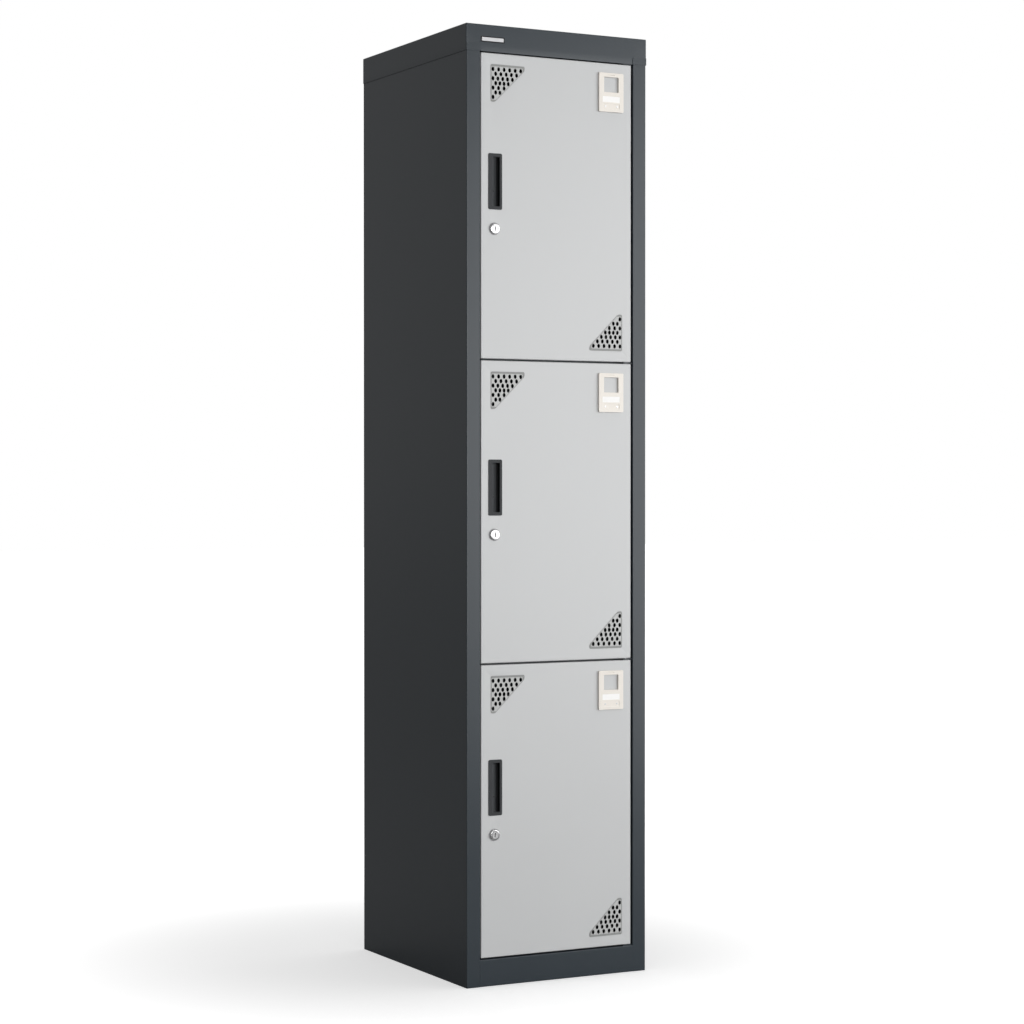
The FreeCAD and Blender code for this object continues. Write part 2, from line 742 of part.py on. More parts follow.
def lock_nut(door):
    """The six-sided nut behind the door sheet."""
    x = lock_centre_x()
    corner_radius = NUT_FLATS / math.sqrt(3.0)
    points = []
    for step in range(6):
        turn = math.radians(60.0 * step)
        points.append((x + corner_radius * math.cos(turn), door.lock_z + corner_radius * math.sin(turn)))
    depth_range = (DOOR_SETBACK + SHEET, DOOR_SETBACK + SHEET + NUT_HEIGHT)
    return prism_along_y(points, depth_range).cut(rod(BARREL_RADIUS, x, door.lock_z, depth_range))


def cam_square(door):
    """The square end of the plug, which drives the cam."""
    return block(
        around(lock_centre_x(), CAM_SQUARE), (CAM_FRONT, CAM_BACK), around(door.lock_z, CAM_SQUARE)
    )


def cam_screw(door):
    """The screw that holds the cam on the plug."""
    x = lock_centre_x()
    return joined([
        rod(CAM_SCREW_HEAD_RADIUS, x, door.lock_z, (CAM_BACK, CAM_BACK + CAM_SCREW_HEAD)),
        rod(CAM_SCREW_SHANK_RADIUS, x, door.lock_z, (CAM_BACK - CAM_SCREW_SHANK, CAM_BACK)),
    ])


def lock_plug(door):
    """The turning plug, with its upright keyway."""
    x = lock_centre_x()
    face = DOOR_SETBACK - BEZEL_PROUD + PLUG_SINK
    plug = joined([rod(PLUG_RADIUS, x, door.lock_z, (face, CAM_FRONT)), cam_square(door)])
    keyway = block(
        around(x, KEYWAY_WIDTH), (face - 1.0, face + KEYWAY_DEPTH), around(door.lock_z, KEYWAY_HEIGHT)
    )
    return plug.cut(keyway).cut(cam_screw(door))


def lock_cam(door):
    """The cam, hanging down when the lock is open."""
    x = lock_centre_x()
    half = CAM_WIDTH / 2.0
    arm = block(
        around(x, CAM_WIDTH), (CAM_FRONT, CAM_BACK), (door.lock_z - CAM_REACH, door.lock_z)
    )
    tip = [
        edge for edge in arm.Edges
        if runs_along(edge, 1) and on_plane(edge, 2, door.lock_z - CAM_REACH)
    ]
    arm = arm.makeFillet(half / 2.0, tip)
    head = rod(half, x, door.lock_z, (CAM_FRONT, CAM_BACK))
    return joined([arm, head]).cut(cam_square(door))


# Card holders

def card_pocket(door, depth_range):
    """The space that the name card fills."""
    middle = holder_left() + HOLDER_WIDTH / 2.0
    top = door.holder_top - CARD_DROP
    return block(around(middle, CARD_WIDTH), depth_range, (top - CARD_HEIGHT, top))


def card_holder(door):
    """A moulded plate with a square window, a card pocket and a rivet recess."""
    left = holder_left()
    middle = left + HOLDER_WIDTH / 2.0
    front = DOOR_SETBACK - HOLDER_THICKNESS
    plate = rounded_plate(
        (left, left + HOLDER_WIDTH), (front, DOOR_SETBACK),
        (door.holder_top - HOLDER_HEIGHT, door.holder_top), HOLDER_CORNER_RADIUS,
    )
    plate = soft_front(plate, HOLDER_EDGE_RADIUS)
    window_top = door.holder_top - WINDOW_DROP
    window = rounded_plate(
        around(middle, WINDOW_WIDTH), (front - 1.0, DOOR_SETBACK + 1.0),
        (window_top - WINDOW_HEIGHT, window_top), 1.0,
    )
    pocket = card_pocket(door, (front - 1.0, front + CARD_SINK + CARD_THICKNESS))
    recess = rounded_plate(
        around(middle, RIVET_RECESS_WIDTH), (front - 1.0, front + RIVET_RECESS_DEPTH),
        around(door.holder_top - RIVET_DROP, RIVET_RECESS_HEIGHT), 2.0,
    )
    holes = [
        rod(RIVET_RADIUS, x, z, (front - 1.0, DOOR_SETBACK + 1.0)) for x, z in rivet_places(door)
    ]
    return plate.cut(group([window])).cut(pocket).cut(recess).cut(group(holes))


def name_card(door):
    """The blank white card."""
    face = DOOR_SETBACK - HOLDER_THICKNESS + CARD_SINK
    return card_pocket(door, (face, face + CARD_THICKNESS))


def card_holder_rivets(door):
    """Two rivets through the holder and the door sheet."""
    seat = DOOR_SETBACK - HOLDER_THICKNESS + RIVET_RECESS_DEPTH
    back = DOOR_SETBACK + SHEET
    rivets = []
    for x, z in rivet_places(door):
        rivets.append(joined([
            rod(RIVET_RADIUS, x, z, (seat - RIVET_HEAD, back)),
            rod(RIVET_TAIL_RADIUS, x, z, (back, back + RIVET_TAIL)),
        ]))
    return group(rivets)


# Nodes

def cabinet_nodes():
    """The pieces that stay still."""
    lower_gap, upper_gap = [door.top + DOOR_GAP / 2.0 for door in DOORS[:-1]]
    return {
        "left_side_panel": side_panel(-1),
        "right_side_panel": side_panel(1),
        "back_panel": back_panel(),
        "top_cap": top_cap(),
        "header_rail": header_rail(),
        "upper_shelf": shelf(upper_gap),
        "lower_shelf": shelf(lower_gap),
        "floor_pan": shelf(PLINTH_HEIGHT + BOTTOM_GAP / 2.0),
        "plinth_rail": plinth_rail(),
        "hinge_plates": hinge_plates(),
        "hinge_pins": hinge_pins(),
        "door_buffers": door_buffers(),
        "blank_badge": blank_badge(),
    }


def door_nodes(door):
    """The pieces of one door and of its lock."""
    places = vent_places(door)
    pieces = {
        "door_panel": door_panel(door),
        "door_stiffener": door_stiffener(door),
        "vent_upper": vent(places["upper"]),
        "vent_lower": vent(places["lower"]),
        "pull_handle": pull_handle(door),
        "handle_screw": handle_screw(door),
        "hinge_bushes": hinge_bushes(door),
        "card_holder": card_holder(door),
        "name_card": name_card(door),
        "card_holder_rivets": card_holder_rivets(door),
        "lock_housing": lock_housing(door),
        "lock_nut": lock_nut(door),
        "lock_plug": lock_plug(door),
        "lock_cam": lock_cam(door),
        "cam_screw": cam_screw(door),
    }
    return {f"{door.name}_{piece}": shape for piece, shape in pieces.items()}


def main():
    """Builds every node and writes it to its own file."""
    nodes = cabinet_nodes()
    for door in DOORS:
        nodes.update(door_nodes(door))
    os.makedirs("parts", exist_ok=True)
    for name, shape in nodes.items():
        shape.exportStep(f"parts/{name}.step")
        print(name, len(shape.Solids), "valid" if shape.isValid() else "NOT VALID")


main()
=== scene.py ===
"""Visual model of a three-tier steel locker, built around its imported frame."""
import logging
import math
from dataclasses import dataclass
from enum import Enum
from typing import Callable, Iterable, Sequence

import bmesh
import bpy
from bmesh.types import BMEdge, BMFace, BMesh, BMVert
from mathutils import Matrix, Vector


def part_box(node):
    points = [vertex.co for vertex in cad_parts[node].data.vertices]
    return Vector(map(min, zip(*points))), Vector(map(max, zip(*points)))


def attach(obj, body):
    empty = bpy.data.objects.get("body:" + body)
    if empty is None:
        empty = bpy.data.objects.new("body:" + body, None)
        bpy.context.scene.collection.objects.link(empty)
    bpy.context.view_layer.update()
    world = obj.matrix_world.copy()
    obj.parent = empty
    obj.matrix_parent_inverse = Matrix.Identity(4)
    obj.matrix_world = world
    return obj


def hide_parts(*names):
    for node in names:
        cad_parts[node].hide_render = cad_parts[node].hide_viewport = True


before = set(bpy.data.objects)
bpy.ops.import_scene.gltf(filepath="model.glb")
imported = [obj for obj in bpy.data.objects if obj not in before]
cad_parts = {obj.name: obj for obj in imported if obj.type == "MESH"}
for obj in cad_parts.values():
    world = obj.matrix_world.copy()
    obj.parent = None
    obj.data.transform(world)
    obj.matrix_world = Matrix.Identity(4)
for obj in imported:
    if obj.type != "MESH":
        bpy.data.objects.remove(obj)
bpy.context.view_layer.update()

LOG = logging.getLogger("locker")
MM = 0.001
CABINET_BODY = "cabinet"
SMOOTH_ANGLE = math.radians(38.0)
FACING = 0.9                      # least agreement of a normal with the way that its face looks
TOUCH = 0.01 * MM                 # places closer than this are the same
MERGE_DISTANCE = 0.001 * MM
BUMP_STRENGTH = 0.6
Colour = tuple[float, float, float]
Loop = list[BMEdge]
Material = bpy.types.Material
Object = bpy.types.Object
Socket = bpy.types.NodeSocket
WHITE: Colour = (1.0, 1.0, 1.0)
UP = Vector((0.0, 0.0, 1.0))
FORWARD = Vector((0.0, -1.0, 0.0))


class Tier(Enum):
    """The three doors, named as in their nodes."""

    TOP = "top"
    MIDDLE = "middle"
    BOTTOM = "bottom"

    def node(self, piece: str) -> str:
        """The node of a piece of this door."""
        return f"{self.value}_{piece}"

    @property
    def door_body(self) -> str:
        """The body that the door's pieces ride on."""
        return f"{self.value}_door"


class Slot(Enum):
    """The record's material slots."""

    GRAPHITE = "graphite_paint"
    GREY = "grey_paint"
    VENT = "vent_plastic"
    BLACK = "black_plastic"
    BLACK_SCREW = "black_screw"
    CREAM = "cream_plastic"
    CARD = "white_card"
    CHROME = "bright_chrome"
    PLUG = "plug_steel"
    ZINC = "zinc_steel"
    NYLON = "nylon"
    RUBBER = "buffer_rubber"
    BADGE = "badge_metal"


# ---------------------------------------------------------------- shader graphs


class Graph:
    """Adds and links the nodes of one tree."""

    def __init__(self, tree: bpy.types.NodeTree) -> None:
        """Keeps the tree and empties it.

        Args:
            tree: the tree of a material, a world or a group.
        """
        self.tree = tree
        tree.nodes.clear()

    def add(self, kind: str, settings: dict | None = None, **inputs: object) -> bpy.types.Node:
        """Adds a node.

        Args:
            kind: the node's type name, without the ShaderNode prefix.
            settings: attributes of the node.
            inputs: input sockets by name, with spaces as underscores; each a
                constant or the output socket that feeds it.

        Returns:
            The node.
        """
        node = self.tree.nodes.new(f"ShaderNode{kind}")
        for name, value in (settings or {}).items():
            setattr(node, name, value)
        for name, value in inputs.items():
            self.feed(node.inputs[name.replace("_", " ")], value)
        return node

    def feed(self, socket: Socket, value: object) -> None:
        """Links an output to a socket, or sets the socket's constant.

        Args:
            socket: the input socket.
            value: an output socket or a constant.
        """
        if isinstance(value, Socket):
            self.tree.links.new(value, socket)
        else:
            socket.default_value = value

    def maths(self, operation: str, *values: object) -> Socket:
        """One step of arithmetic.

        Args:
            operation: the Math node's operation.
            values: its operands, constants or sockets.

        Returns:
            The result's socket.
        """
        node = self.add("Math", {"operation": operation})
        for socket, value in zip(node.inputs, values):
            self.feed(socket, value)
        return node.outputs[0]

    def blend(self, share: object, first: object, second: object) -> Socket:
        """A mix of two colours; share 0 is the first and 1 the second.

        Args:
            share: 0 for the first colour and 1 for the second.
            first: a colour or its socket.
            second: a colour or its socket.

        Returns:
            The mix's socket.
        """
        node = self.add("Mix", {"data_type": "RGBA", "clamp_factor": True})
        self.feed(node.inputs[0], share)
        self.feed(node.inputs[6], first)
        self.feed(node.inputs[7], second)
        return node.outputs[2]

    def average(self, first: Socket, second: Socket) -> Socket:
        """Half of each of two values."""
        return self.maths(
            "ADD", self.maths("MULTIPLY", first, 0.5), self.maths("MULTIPLY", second, 0.5)
        )

    def ranged(self, value: object, low: float, high: float) -> Socket:
        """A value of 0 to 1 spread from low to high."""
        return self.add("MapRange", None, Value=value, To_Min=low, To_Max=high).outputs[0]

    def finish(self, kind: str, shader: bpy.types.Node) -> None:
        """Ends the tree with an output of the given kind."""
        self.feed(self.add(kind).inputs["Surface"], shader.outputs[0])


def new_material(name: str) -> tuple[Material, Graph]:
    """An empty material and the graph of its nodes.

    Args:
        name: the material's name.

    Returns:
        The material and its graph.
    """
    material = bpy.data.materials.new(name)
    material.use_nodes = True
    return material, Graph(material.node_tree)


class Effect(Graph):
    """A shader group with number sockets, placed by several finishes."""

    def __init__(self, name: str, inputs: dict[str, float], outputs: Sequence[str]) -> None:
        """Makes the group's sockets and its two end nodes.

        Args:
            name: the group's name.
            inputs: input names and defaults.
            outputs: output names.
        """
        super().__init__(bpy.data.node_groups.new(name, "ShaderNodeTree"))
        for label, default in inputs.items():
            self.socket(label, "INPUT").default_value = default
        for label in outputs:
            self.socket(label, "OUTPUT")
        self.given = self.tree.nodes.new("NodeGroupInput").outputs
        self.result = self.tree.nodes.new("NodeGroupOutput").inputs
        self.place = self.add("TexCoord").outputs["Object"]

    def socket(self, label: str, way: str) -> bpy.types.NodeTreeInterfaceSocket:
        """A new number socket of the group."""
        return self.tree.interface.new_socket(label, in_out=way, socket_type="NodeSocketFloat")


class Effects:
    """The shader groups that the finishes share, each built once."""

    def __init__(self) -> None:
        """Builds the groups."""
        self.grain = self._grain()
        self.edge = self._fold_shading()
        self.brushed = self._brushed()

    @staticmethod
    def _grain() -> bpy.types.NodeTree:
        """Fine pimples and a slow mottle, both 0 to 1.

        Returns:
            The group's tree.
        """
        group = Effect(
            "fine_grain", {"Grain Scale": 900.0, "Mottle Scale": 6.0}, ("Grain", "Mottle")
        )
        fine = group.add(
            "TexNoise", None, Vector=group.place, Scale=group.given["Grain Scale"], Detail=2.0,
            Roughness=0.55,
        )
        slow = group.add(
            "TexNoise", None, Vector=group.place, Scale=group.given["Mottle Scale"], Detail=5.0,
            Roughness=0.6, Distortion=0.4,
        )
        group.feed(group.result["Grain"], fine.outputs[0])
        group.feed(group.result["Mottle"], slow.outputs[0])
        return group.tree

    @staticmethod
    def _fold_shading() -> bpy.types.NodeTree:
        """A mask of the folds and corners, broken up by noise, along which the finishes paint
        highlight or shade.

        Returns:
            The group's tree.
        """
        group = Effect("painted_fold_shading", {"Width": 1.2 * MM, "Break Up": 140.0}, ("Mask",))
        rounded = group.add("Bevel", {"samples": 4}, Radius=group.given["Width"])
        agree = group.add("VectorMath", {"operation": "DOT_PRODUCT"})
        group.feed(agree.inputs[0], rounded.outputs[0])
        group.feed(agree.inputs[1], group.add("NewGeometry").outputs["Normal"])
        bend = group.maths("SUBTRACT", 1.0, agree.outputs["Value"])
        noise = group.add(
            "TexNoise", None, Vector=group.place, Scale=group.given["Break Up"], Detail=3.0
        )
        broken = group.maths("MULTIPLY", bend, group.ranged(noise.outputs[0], 1.0, 5.0))
        group.feed(group.result["Mask"], group.add("Clamp", None, Value=broken).outputs[0])
        return group.tree

    @staticmethod
    def _brushed() -> bpy.types.NodeTree:
        """Fine parallel lines and soft plating spangle, both 0 to 1.

        Returns:
            The group's tree.
        """
        group = Effect(
            "plated_lines", {"Line Scale": 1800.0, "Spangle Scale": 260.0}, ("Lines", "Spangle")
        )
        drawn = group.add("Mapping", None, Vector=group.place, Scale=(0.04, 1.0, 1.0))
        lines = group.add(
            "TexNoise", None, Vector=drawn.outputs[0], Scale=group.given["Line Scale"], Detail=2.0
        )
        cells = group.add(
            "TexVoronoi", None, Vector=group.place, Scale=group.given["Spangle Scale"]
        )
        tone = group.add("SeparateColor", None, Color=cells.outputs["Color"])
        group.feed(group.result["Lines"], lines.outputs[0])
        group.feed(group.result["Spangle"], tone.outputs[0])
        return group.tree


def opaque(colour: Colour, gain: float = 1.0) -> tuple[float, float, float, float]:
    """A colour scaled by a gain, with full alpha."""
    return (colour[0] * gain, colour[1] * gain, colour[2] * gain, 1.0)


@dataclass(frozen=True)
class Finish:
    """A surface with grain, mottle, and painted highlight along its folds and corners (painted
    shade where the fold colour is darker).

    Attributes:
        name: the material's name.
        colour: the main colour, linear.
        fold_shading_colour: the colour painted along folds and corners, a painted highlight where
            it is lighter than the main colour and a painted shade where it is darker.
        fold_shading_share: how strongly that painted highlight or shade shows, 0 to 1.
        fold_shading_width_mm: how far the painted highlight or shade reaches.
        roughness: middle roughness.
        roughness_spread: how far grain and mottle move it.
        mottle: share by which the slow mottle changes the colour.
        mottle_scale: cells of mottle in a metre.
        grain_scale: pimples in a metre.
        grain_height_mm: height of the pimples.
        specular: specular level of the coating.
        metallic: 1 for bare metal.
    """

    name: str
    colour: Colour
    fold_shading_colour: Colour
    fold_shading_share: float = 0.3
    fold_shading_width_mm: float = 1.2
    roughness: float = 0.5
    roughness_spread: float = 0.12
    mottle: float = 0.05
    mottle_scale: float = 5.0
    grain_scale: float = 900.0
    grain_height_mm: float = 0.03
    specular: float = 0.5
    metallic: float = 0.0

    def make(self, effects: Effects) -> Material:
        """Builds the material.

        Args:
            effects: the shared groups.

        Returns:
            The material.
        """
        material, graph = new_material(self.name)
        grain = graph.add(
            "Group", {"node_tree": effects.grain},
            Grain_Scale=self.grain_scale, Mottle_Scale=self.mottle_scale,
        ).outputs
        edge = graph.add("Group", {"node_tree": effects.edge}, Width=self.fold_shading_width_mm * MM)
        tone, height = self._tone_and_height(graph, effects, grain)
        body = graph.blend(
            tone, opaque(self.colour, 1.0 - self.mottle), opaque(self.colour, 1.0 + self.mottle)
        )
        # Share of the painted highlight along folds and corners (painted shade where the fold
        # colour is darker)
        share = graph.maths("MULTIPLY", edge.outputs["Mask"], self.fold_shading_share)
        roughness = graph.ranged(
            graph.average(grain["Grain"], grain["Mottle"]),
            self.roughness - self.roughness_spread, self.roughness + self.roughness_spread,
        )
        bump = graph.add(
            "Bump", None, Strength=BUMP_STRENGTH, Distance=self.grain_height_mm * MM, Height=height
        )
        shader = graph.add(
            "BsdfPrincipled", None, Roughness=roughness, Normal=bump.outputs[0],
            Base_Color=graph.blend(share, body, opaque(self.fold_shading_colour)),
            Specular_IOR_Level=self.specular, Metallic=self.metallic,
        )
        graph.finish("OutputMaterial", shader)
        return material

    def _tone_and_height(
        self, graph: Graph, effects: Effects, grain: bpy.types.NodeOutputs
    ) -> tuple[Socket, Socket]:
        """What shades the colour, and the height that the bump reads."""
        return grain["Mottle"], grain["Grain"]


@dataclass(frozen=True)
class PlatedFinish(Finish):
    """Bare or plated metal with drawn lines and spangle."""

    metallic: float = 1.0

    def _tone_and_height(
        self, graph: Graph, effects: Effects, grain: bpy.types.NodeOutputs
    ) -> tuple[Socket, Socket]:
        """A tone that is uneven from grain to grain, and drawn lines rather than pimples."""
        plating = graph.add("Group", {"node_tree": effects.brushed}).outputs
        return graph.average(grain["Mottle"], plating["Spangle"]), plating["Lines"]


# The second colour of each finish is painted along folds and corners: a painted highlight where it
# is lighter, a painted shade where it is darker, as on the card.
FINISHES: dict[Slot, Finish] = {
    Slot.GRAPHITE: Finish(
        "graphite_powder_coat", (0.0195, 0.0265, 0.033), (0.050, 0.060, 0.066), fold_shading_share=0.3,
        roughness=0.31, roughness_spread=0.05, mottle=0.08, grain_scale=1100.0,
        grain_height_mm=0.05, specular=0.4,
    ),
    Slot.GREY: Finish(
        "light_grey_powder_coat", (0.416, 0.422, 0.425), (0.56, 0.565, 0.57), fold_shading_share=0.4,
        roughness=0.36, roughness_spread=0.06, mottle=0.018, grain_scale=1100.0,
        grain_height_mm=0.05, specular=0.5,
    ),
    Slot.VENT: Finish(
        "vent_moulding", (0.355, 0.36, 0.356), (0.45, 0.45, 0.45), fold_shading_share=0.4,
        fold_shading_width_mm=0.4, roughness=0.42, mottle=0.04, mottle_scale=40.0, grain_scale=1600.0,
    ),
    Slot.BLACK: Finish(
        "black_moulding", (0.0325, 0.0345, 0.037), (0.06, 0.062, 0.065), fold_shading_share=0.4,
        fold_shading_width_mm=0.7, roughness=0.52, mottle=0.12, mottle_scale=30.0, grain_scale=1500.0,
        grain_height_mm=0.05, specular=0.14,
    ),
    Slot.BLACK_SCREW: Finish(
        "blackened_screw", (0.008, 0.008, 0.009), (0.03, 0.03, 0.03), fold_shading_share=0.5,
        fold_shading_width_mm=0.3, roughness=0.5, grain_scale=2500.0, specular=0.3,
    ),
    Slot.CREAM: Finish(
        "cream_moulding", (0.622, 0.588, 0.54), (0.66, 0.63, 0.575), fold_shading_share=0.3,
        fold_shading_width_mm=0.5, roughness=0.4, mottle=0.025, mottle_scale=35.0, grain_scale=1400.0,
        grain_height_mm=0.02, specular=0.4,
    ),
    Slot.CARD: Finish(
        "white_card", (0.73, 0.725, 0.715), (0.66, 0.65, 0.62), fold_shading_share=0.4,
        fold_shading_width_mm=0.4, roughness=0.8, mottle=0.03, mottle_scale=120.0, grain_scale=2600.0,
        grain_height_mm=0.02, specular=0.2,
    ),
    Slot.CHROME: PlatedFinish(
        "bright_chrome", (0.55, 0.55, 0.555), (0.70, 0.70, 0.705), fold_shading_share=0.5,
        fold_shading_width_mm=0.4, roughness=0.2, roughness_spread=0.08, mottle=0.03,
        mottle_scale=60.0, grain_height_mm=0.004,
    ),
    Slot.PLUG: PlatedFinish(
        "satin_plug", (0.50, 0.50, 0.505), (0.62, 0.62, 0.625), fold_shading_share=0.5,
        fold_shading_width_mm=0.3, roughness=0.3, roughness_spread=0.1, mottle=0.06,
        mottle_scale=90.0, grain_height_mm=0.01,
    ),
    Slot.ZINC: PlatedFinish(
        "zinc_plate", (0.50, 0.51, 0.52), (0.66, 0.66, 0.67), fold_shading_share=0.4,
        fold_shading_width_mm=0.4, roughness=0.36, roughness_spread=0.14, mottle=0.14,
        mottle_scale=40.0, grain_height_mm=0.01,
    ),
    Slot.NYLON: Finish(
        "smoke_nylon", (0.06, 0.062, 0.065), (0.10, 0.10, 0.105), fold_shading_width_mm=0.5,
        roughness=0.4, mottle=0.03, mottle_scale=60.0, grain_scale=1800.0,
    ),
    Slot.RUBBER: Finish(
        "black_rubber", (0.018, 0.018, 0.018), (0.04, 0.04, 0.04), fold_shading_width_mm=0.5,
        roughness=0.75, mottle=0.15, mottle_scale=80.0, grain_scale=2200.0,
        grain_height_mm=0.06, specular=0.3,
    ),
    Slot.BADGE: PlatedFinish(
        "satin_badge", (0.42, 0.42, 0.43), (0.5, 0.5, 0.51), fold_shading_share=0.4,
        fold_shading_width_mm=0.4, roughness=0.34, roughness_spread=0.1, mottle=0.04,
        mottle_scale=60.0, grain_height_mm=0.008,
    ),
}
# Darker copy of the vent moulding for the raised border: painted shade.
VENT_BORDER_SHADE = Finish(
    "vent_border_painted_shade", (0.19, 0.194, 0.19), (0.3, 0.304, 0.3), fold_shading_share=0.4,
    fold_shading_width_mm=0.5, roughness=0.5, mottle=0.06, mottle_scale=60.0, grain_scale=1600.0,
)
# Darker still, for the hole walls: painted shade in the holes.
VENT_HOLE_SHADE = Finish(
    "vent_hole_painted_shade", (0.10, 0.102, 0.10), (0.16, 0.162, 0.16), fold_shading_share=0.3,
    fold_shading_width_mm=0.3, roughness=0.55, mottle=0.06, mottle_scale=60.0, grain_scale=1600.0,
)
BADGE_BACKING = Finish(
    "badge_backing", (0.005, 0.005, 0.006), (0.02, 0.02, 0.02), fold_shading_share=0.4,
    fold_shading_width_mm=0.4, roughness=0.5, mottle=0.1, mottle_scale=60.0, specular=0.2,
)
# Darker copy of the black moulding for the cup's floor and undercut wall: painted shade.
HANDLE_DEPTH_SHADE = Finish(
    "handle_depth_painted_shade", (0.013, 0.014, 0.015), (0.03, 0.032, 0.034), fold_shading_share=0.2,
    fold_shading_width_mm=0.7, roughness=0.6, mottle=0.16, mottle_scale=45.0, grain_scale=1500.0,
    grain_height_mm=0.04, specular=0.15,
)
# Lighter copy of the black moulding for the cup's ramp and ends: painted light.
HANDLE_CUP_LIT = Finish(
    "handle_cup_painted_light", (0.052, 0.055, 0.058), (0.08, 0.082, 0.085), fold_shading_share=0.3,
    fold_shading_width_mm=0.7, roughness=0.48, mottle=0.16, mottle_scale=45.0, grain_scale=1500.0,
    grain_height_mm=0.04, specular=0.25,
)


class Paintshop:
    """Makes each finish once and dresses pieces with it."""

    def __init__(self) -> None:
        """Builds the shared groups."""
        self.effects = Effects()
        self._made: dict[Finish, Material] = {}

    def material(self, finish: Finish) -> Material:
        """The material of a finish, built at its first use.

        Args:
            finish: the finish.

        Returns:
            The material.
        """
        if finish not in self._made:
            self._made[finish] = finish.make(self.effects)
        return self._made[finish]

    def dress_nodes(self, slot: Slot, nodes: Iterable[str]) -> None:
        """Gives frame nodes that stay in view their finish.

        Args:
            slot: the finish.
            nodes: the nodes' names.
        """
        for name in nodes:
            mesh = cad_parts[name].data
            mesh.materials.clear()
            mesh.materials.append(self.material(FINISHES[slot]))
            LOG.info("%s keeps its frame shape, in %s", name, slot.value)


# ---------------------------------------------------------------- mesh building


@dataclass(frozen=True)
class Box:
    """A box in the frame, in metres."""

    low: Vector
    high: Vector

    @classmethod
    def of(cls, node: str) -> "Box":
        """The box of a frame node."""
        return cls(*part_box(node))

    @property
    def centre(self) -> Vector:
        """The middle of the box."""
        return (self.low + self.high) / 2.0

    @property
    def size(self) -> Vector:
        """The lengths of the box's sides."""
        return self.high - self.low

    def outline(self, y: float) -> list[Vector]:
        """The corners of the box as seen from the front, at depth y."""
        return rectangle((self.low.x, self.low.z), (self.high.x, self.high.z), y)


def only(kind: type, items: Iterable[object]) -> list:
    """The items of one bmesh type."""
    return [item for item in items if isinstance(item, kind)]


def add_block(bm: BMesh, low: Sequence[float], high: Sequence[float]) -> list[BMFace]:
    """Adds a block between two corners.

    Args:
        bm: the mesh.
        low: its lowest corner.
        high: its highest corner.

    Returns:
        Its faces.
    """
    low, high = Vector(low), Vector(high)
    matrix = Matrix.Translation((low + high) / 2.0) @ Matrix.Diagonal((*(high - low), 1.0))
    verts = bmesh.ops.create_cube(bm, size=1.0, matrix=matrix)["verts"]
    return list({face for vert in verts for face in vert.link_faces})


def round_edges(bm: BMesh, edges: Sequence[BMEdge], radius: float, segments: int = 4) -> None:
    """Rounds edges to a radius.

    Args:
        bm: the mesh.
        edges: the edges.
        radius: the rounding's radius.
        segments: steps in it.
    """
    bmesh.ops.bevel(
        bm, geom=list(edges), offset=radius, offset_type="OFFSET", segments=segments,
        profile=0.5, affect="EDGES", material=-1, clamp_overlap=True,
    )


def loop_of_points(
    bm: BMesh, points: Sequence[Sequence[float]], radius: float = 0.0, segments: int = 5,
    rounded: Sequence[int] | None = None,
) -> Loop:
    """A closed loop with rounded corners.

    Args:
        bm: the mesh.
        points: the corners, in order.
        radius: how far from each corner the rounding starts.
        segments: steps in each rounding.
        rounded: which corners are rounded; all of them if None.

    Returns:
        The loop's edges, without a face.
    """
    verts = [bm.verts.new(point) for point in points]
    face = bm.faces.new(verts)
    if radius > 0.0:
        chosen = verts if rounded is None else [verts[index] for index in rounded]
        made = bmesh.ops.bevel(
            bm, geom=chosen, offset=radius, offset_type="OFFSET", segments=segments,
            profile=0.5, affect="VERTICES", material=-1, clamp_overlap=True,
        )
        face = next(iter(made["verts"])).link_faces[0]
    edges = list(face.edges)
    bmesh.ops.delete(bm, geom=[face], context="FACES_ONLY")
    return edges


def oval_loop(bm: BMesh, centre: Vector, width: float, height: float, steps: int) -> Loop:
    """A closed oval that faces the front.

    Args:
        bm: the mesh.
        centre: its middle.
        width: its size along X.
        height: its size along Z.
        steps: how many edges it has.

    Returns:
        Its edges.
    """
    matrix = (
        Matrix.Translation(centre) @ Matrix.Rotation(math.pi / 2.0, 4, "X")
        @ Matrix.Diagonal((width / 2.0, height / 2.0, 1.0, 1.0))
    )
    verts = bmesh.ops.create_circle(bm, segments=steps, radius=1.0, matrix=matrix)["verts"]
    return list({edge for vert in verts for edge in vert.link_edges})


def rectangle(low: Sequence[float], high: Sequence[float], y: float) -> list[Vector]:
    """The corners of an upright rectangle.

    Args:
        low: x and z of its lowest corner.
        high: x and z of its highest corner.
        y: the depth that it lies at.

    Returns:
        The corners, in order.
    """
    return [
        Vector((low[0], y, low[1])), Vector((high[0], y, low[1])),
        Vector((high[0], y, high[1])), Vector((low[0], y, high[1])),
    ]


def centred(x: float, z: float, width: float, height: float, y: float) -> list[Vector]:
    """The corners of an upright rectangle round a middle.

    Args:
        x: x of the middle.
        z: z of the middle.
        width: its size along X.
        height: its size along Z.
        y: the depth that it lies at.

    Returns:
        The corners, in order.
    """
    return rectangle(
        (x - width / 2.0, z - height / 2.0), (x + width / 2.0, z + height / 2.0), y
    )


def fill(bm: BMesh, edges: Sequence[BMEdge]) -> list[BMFace]:
    """Fills the flat area between an outline and the holes in it.

    Args:
        bm: the mesh.
        edges: the edges of all the loops.

    Returns:
        The faces made.
    """
    made = bmesh.ops.triangle_fill(bm, use_beauty=True, edges=list(edges))
    return only(BMFace, made["geom"])


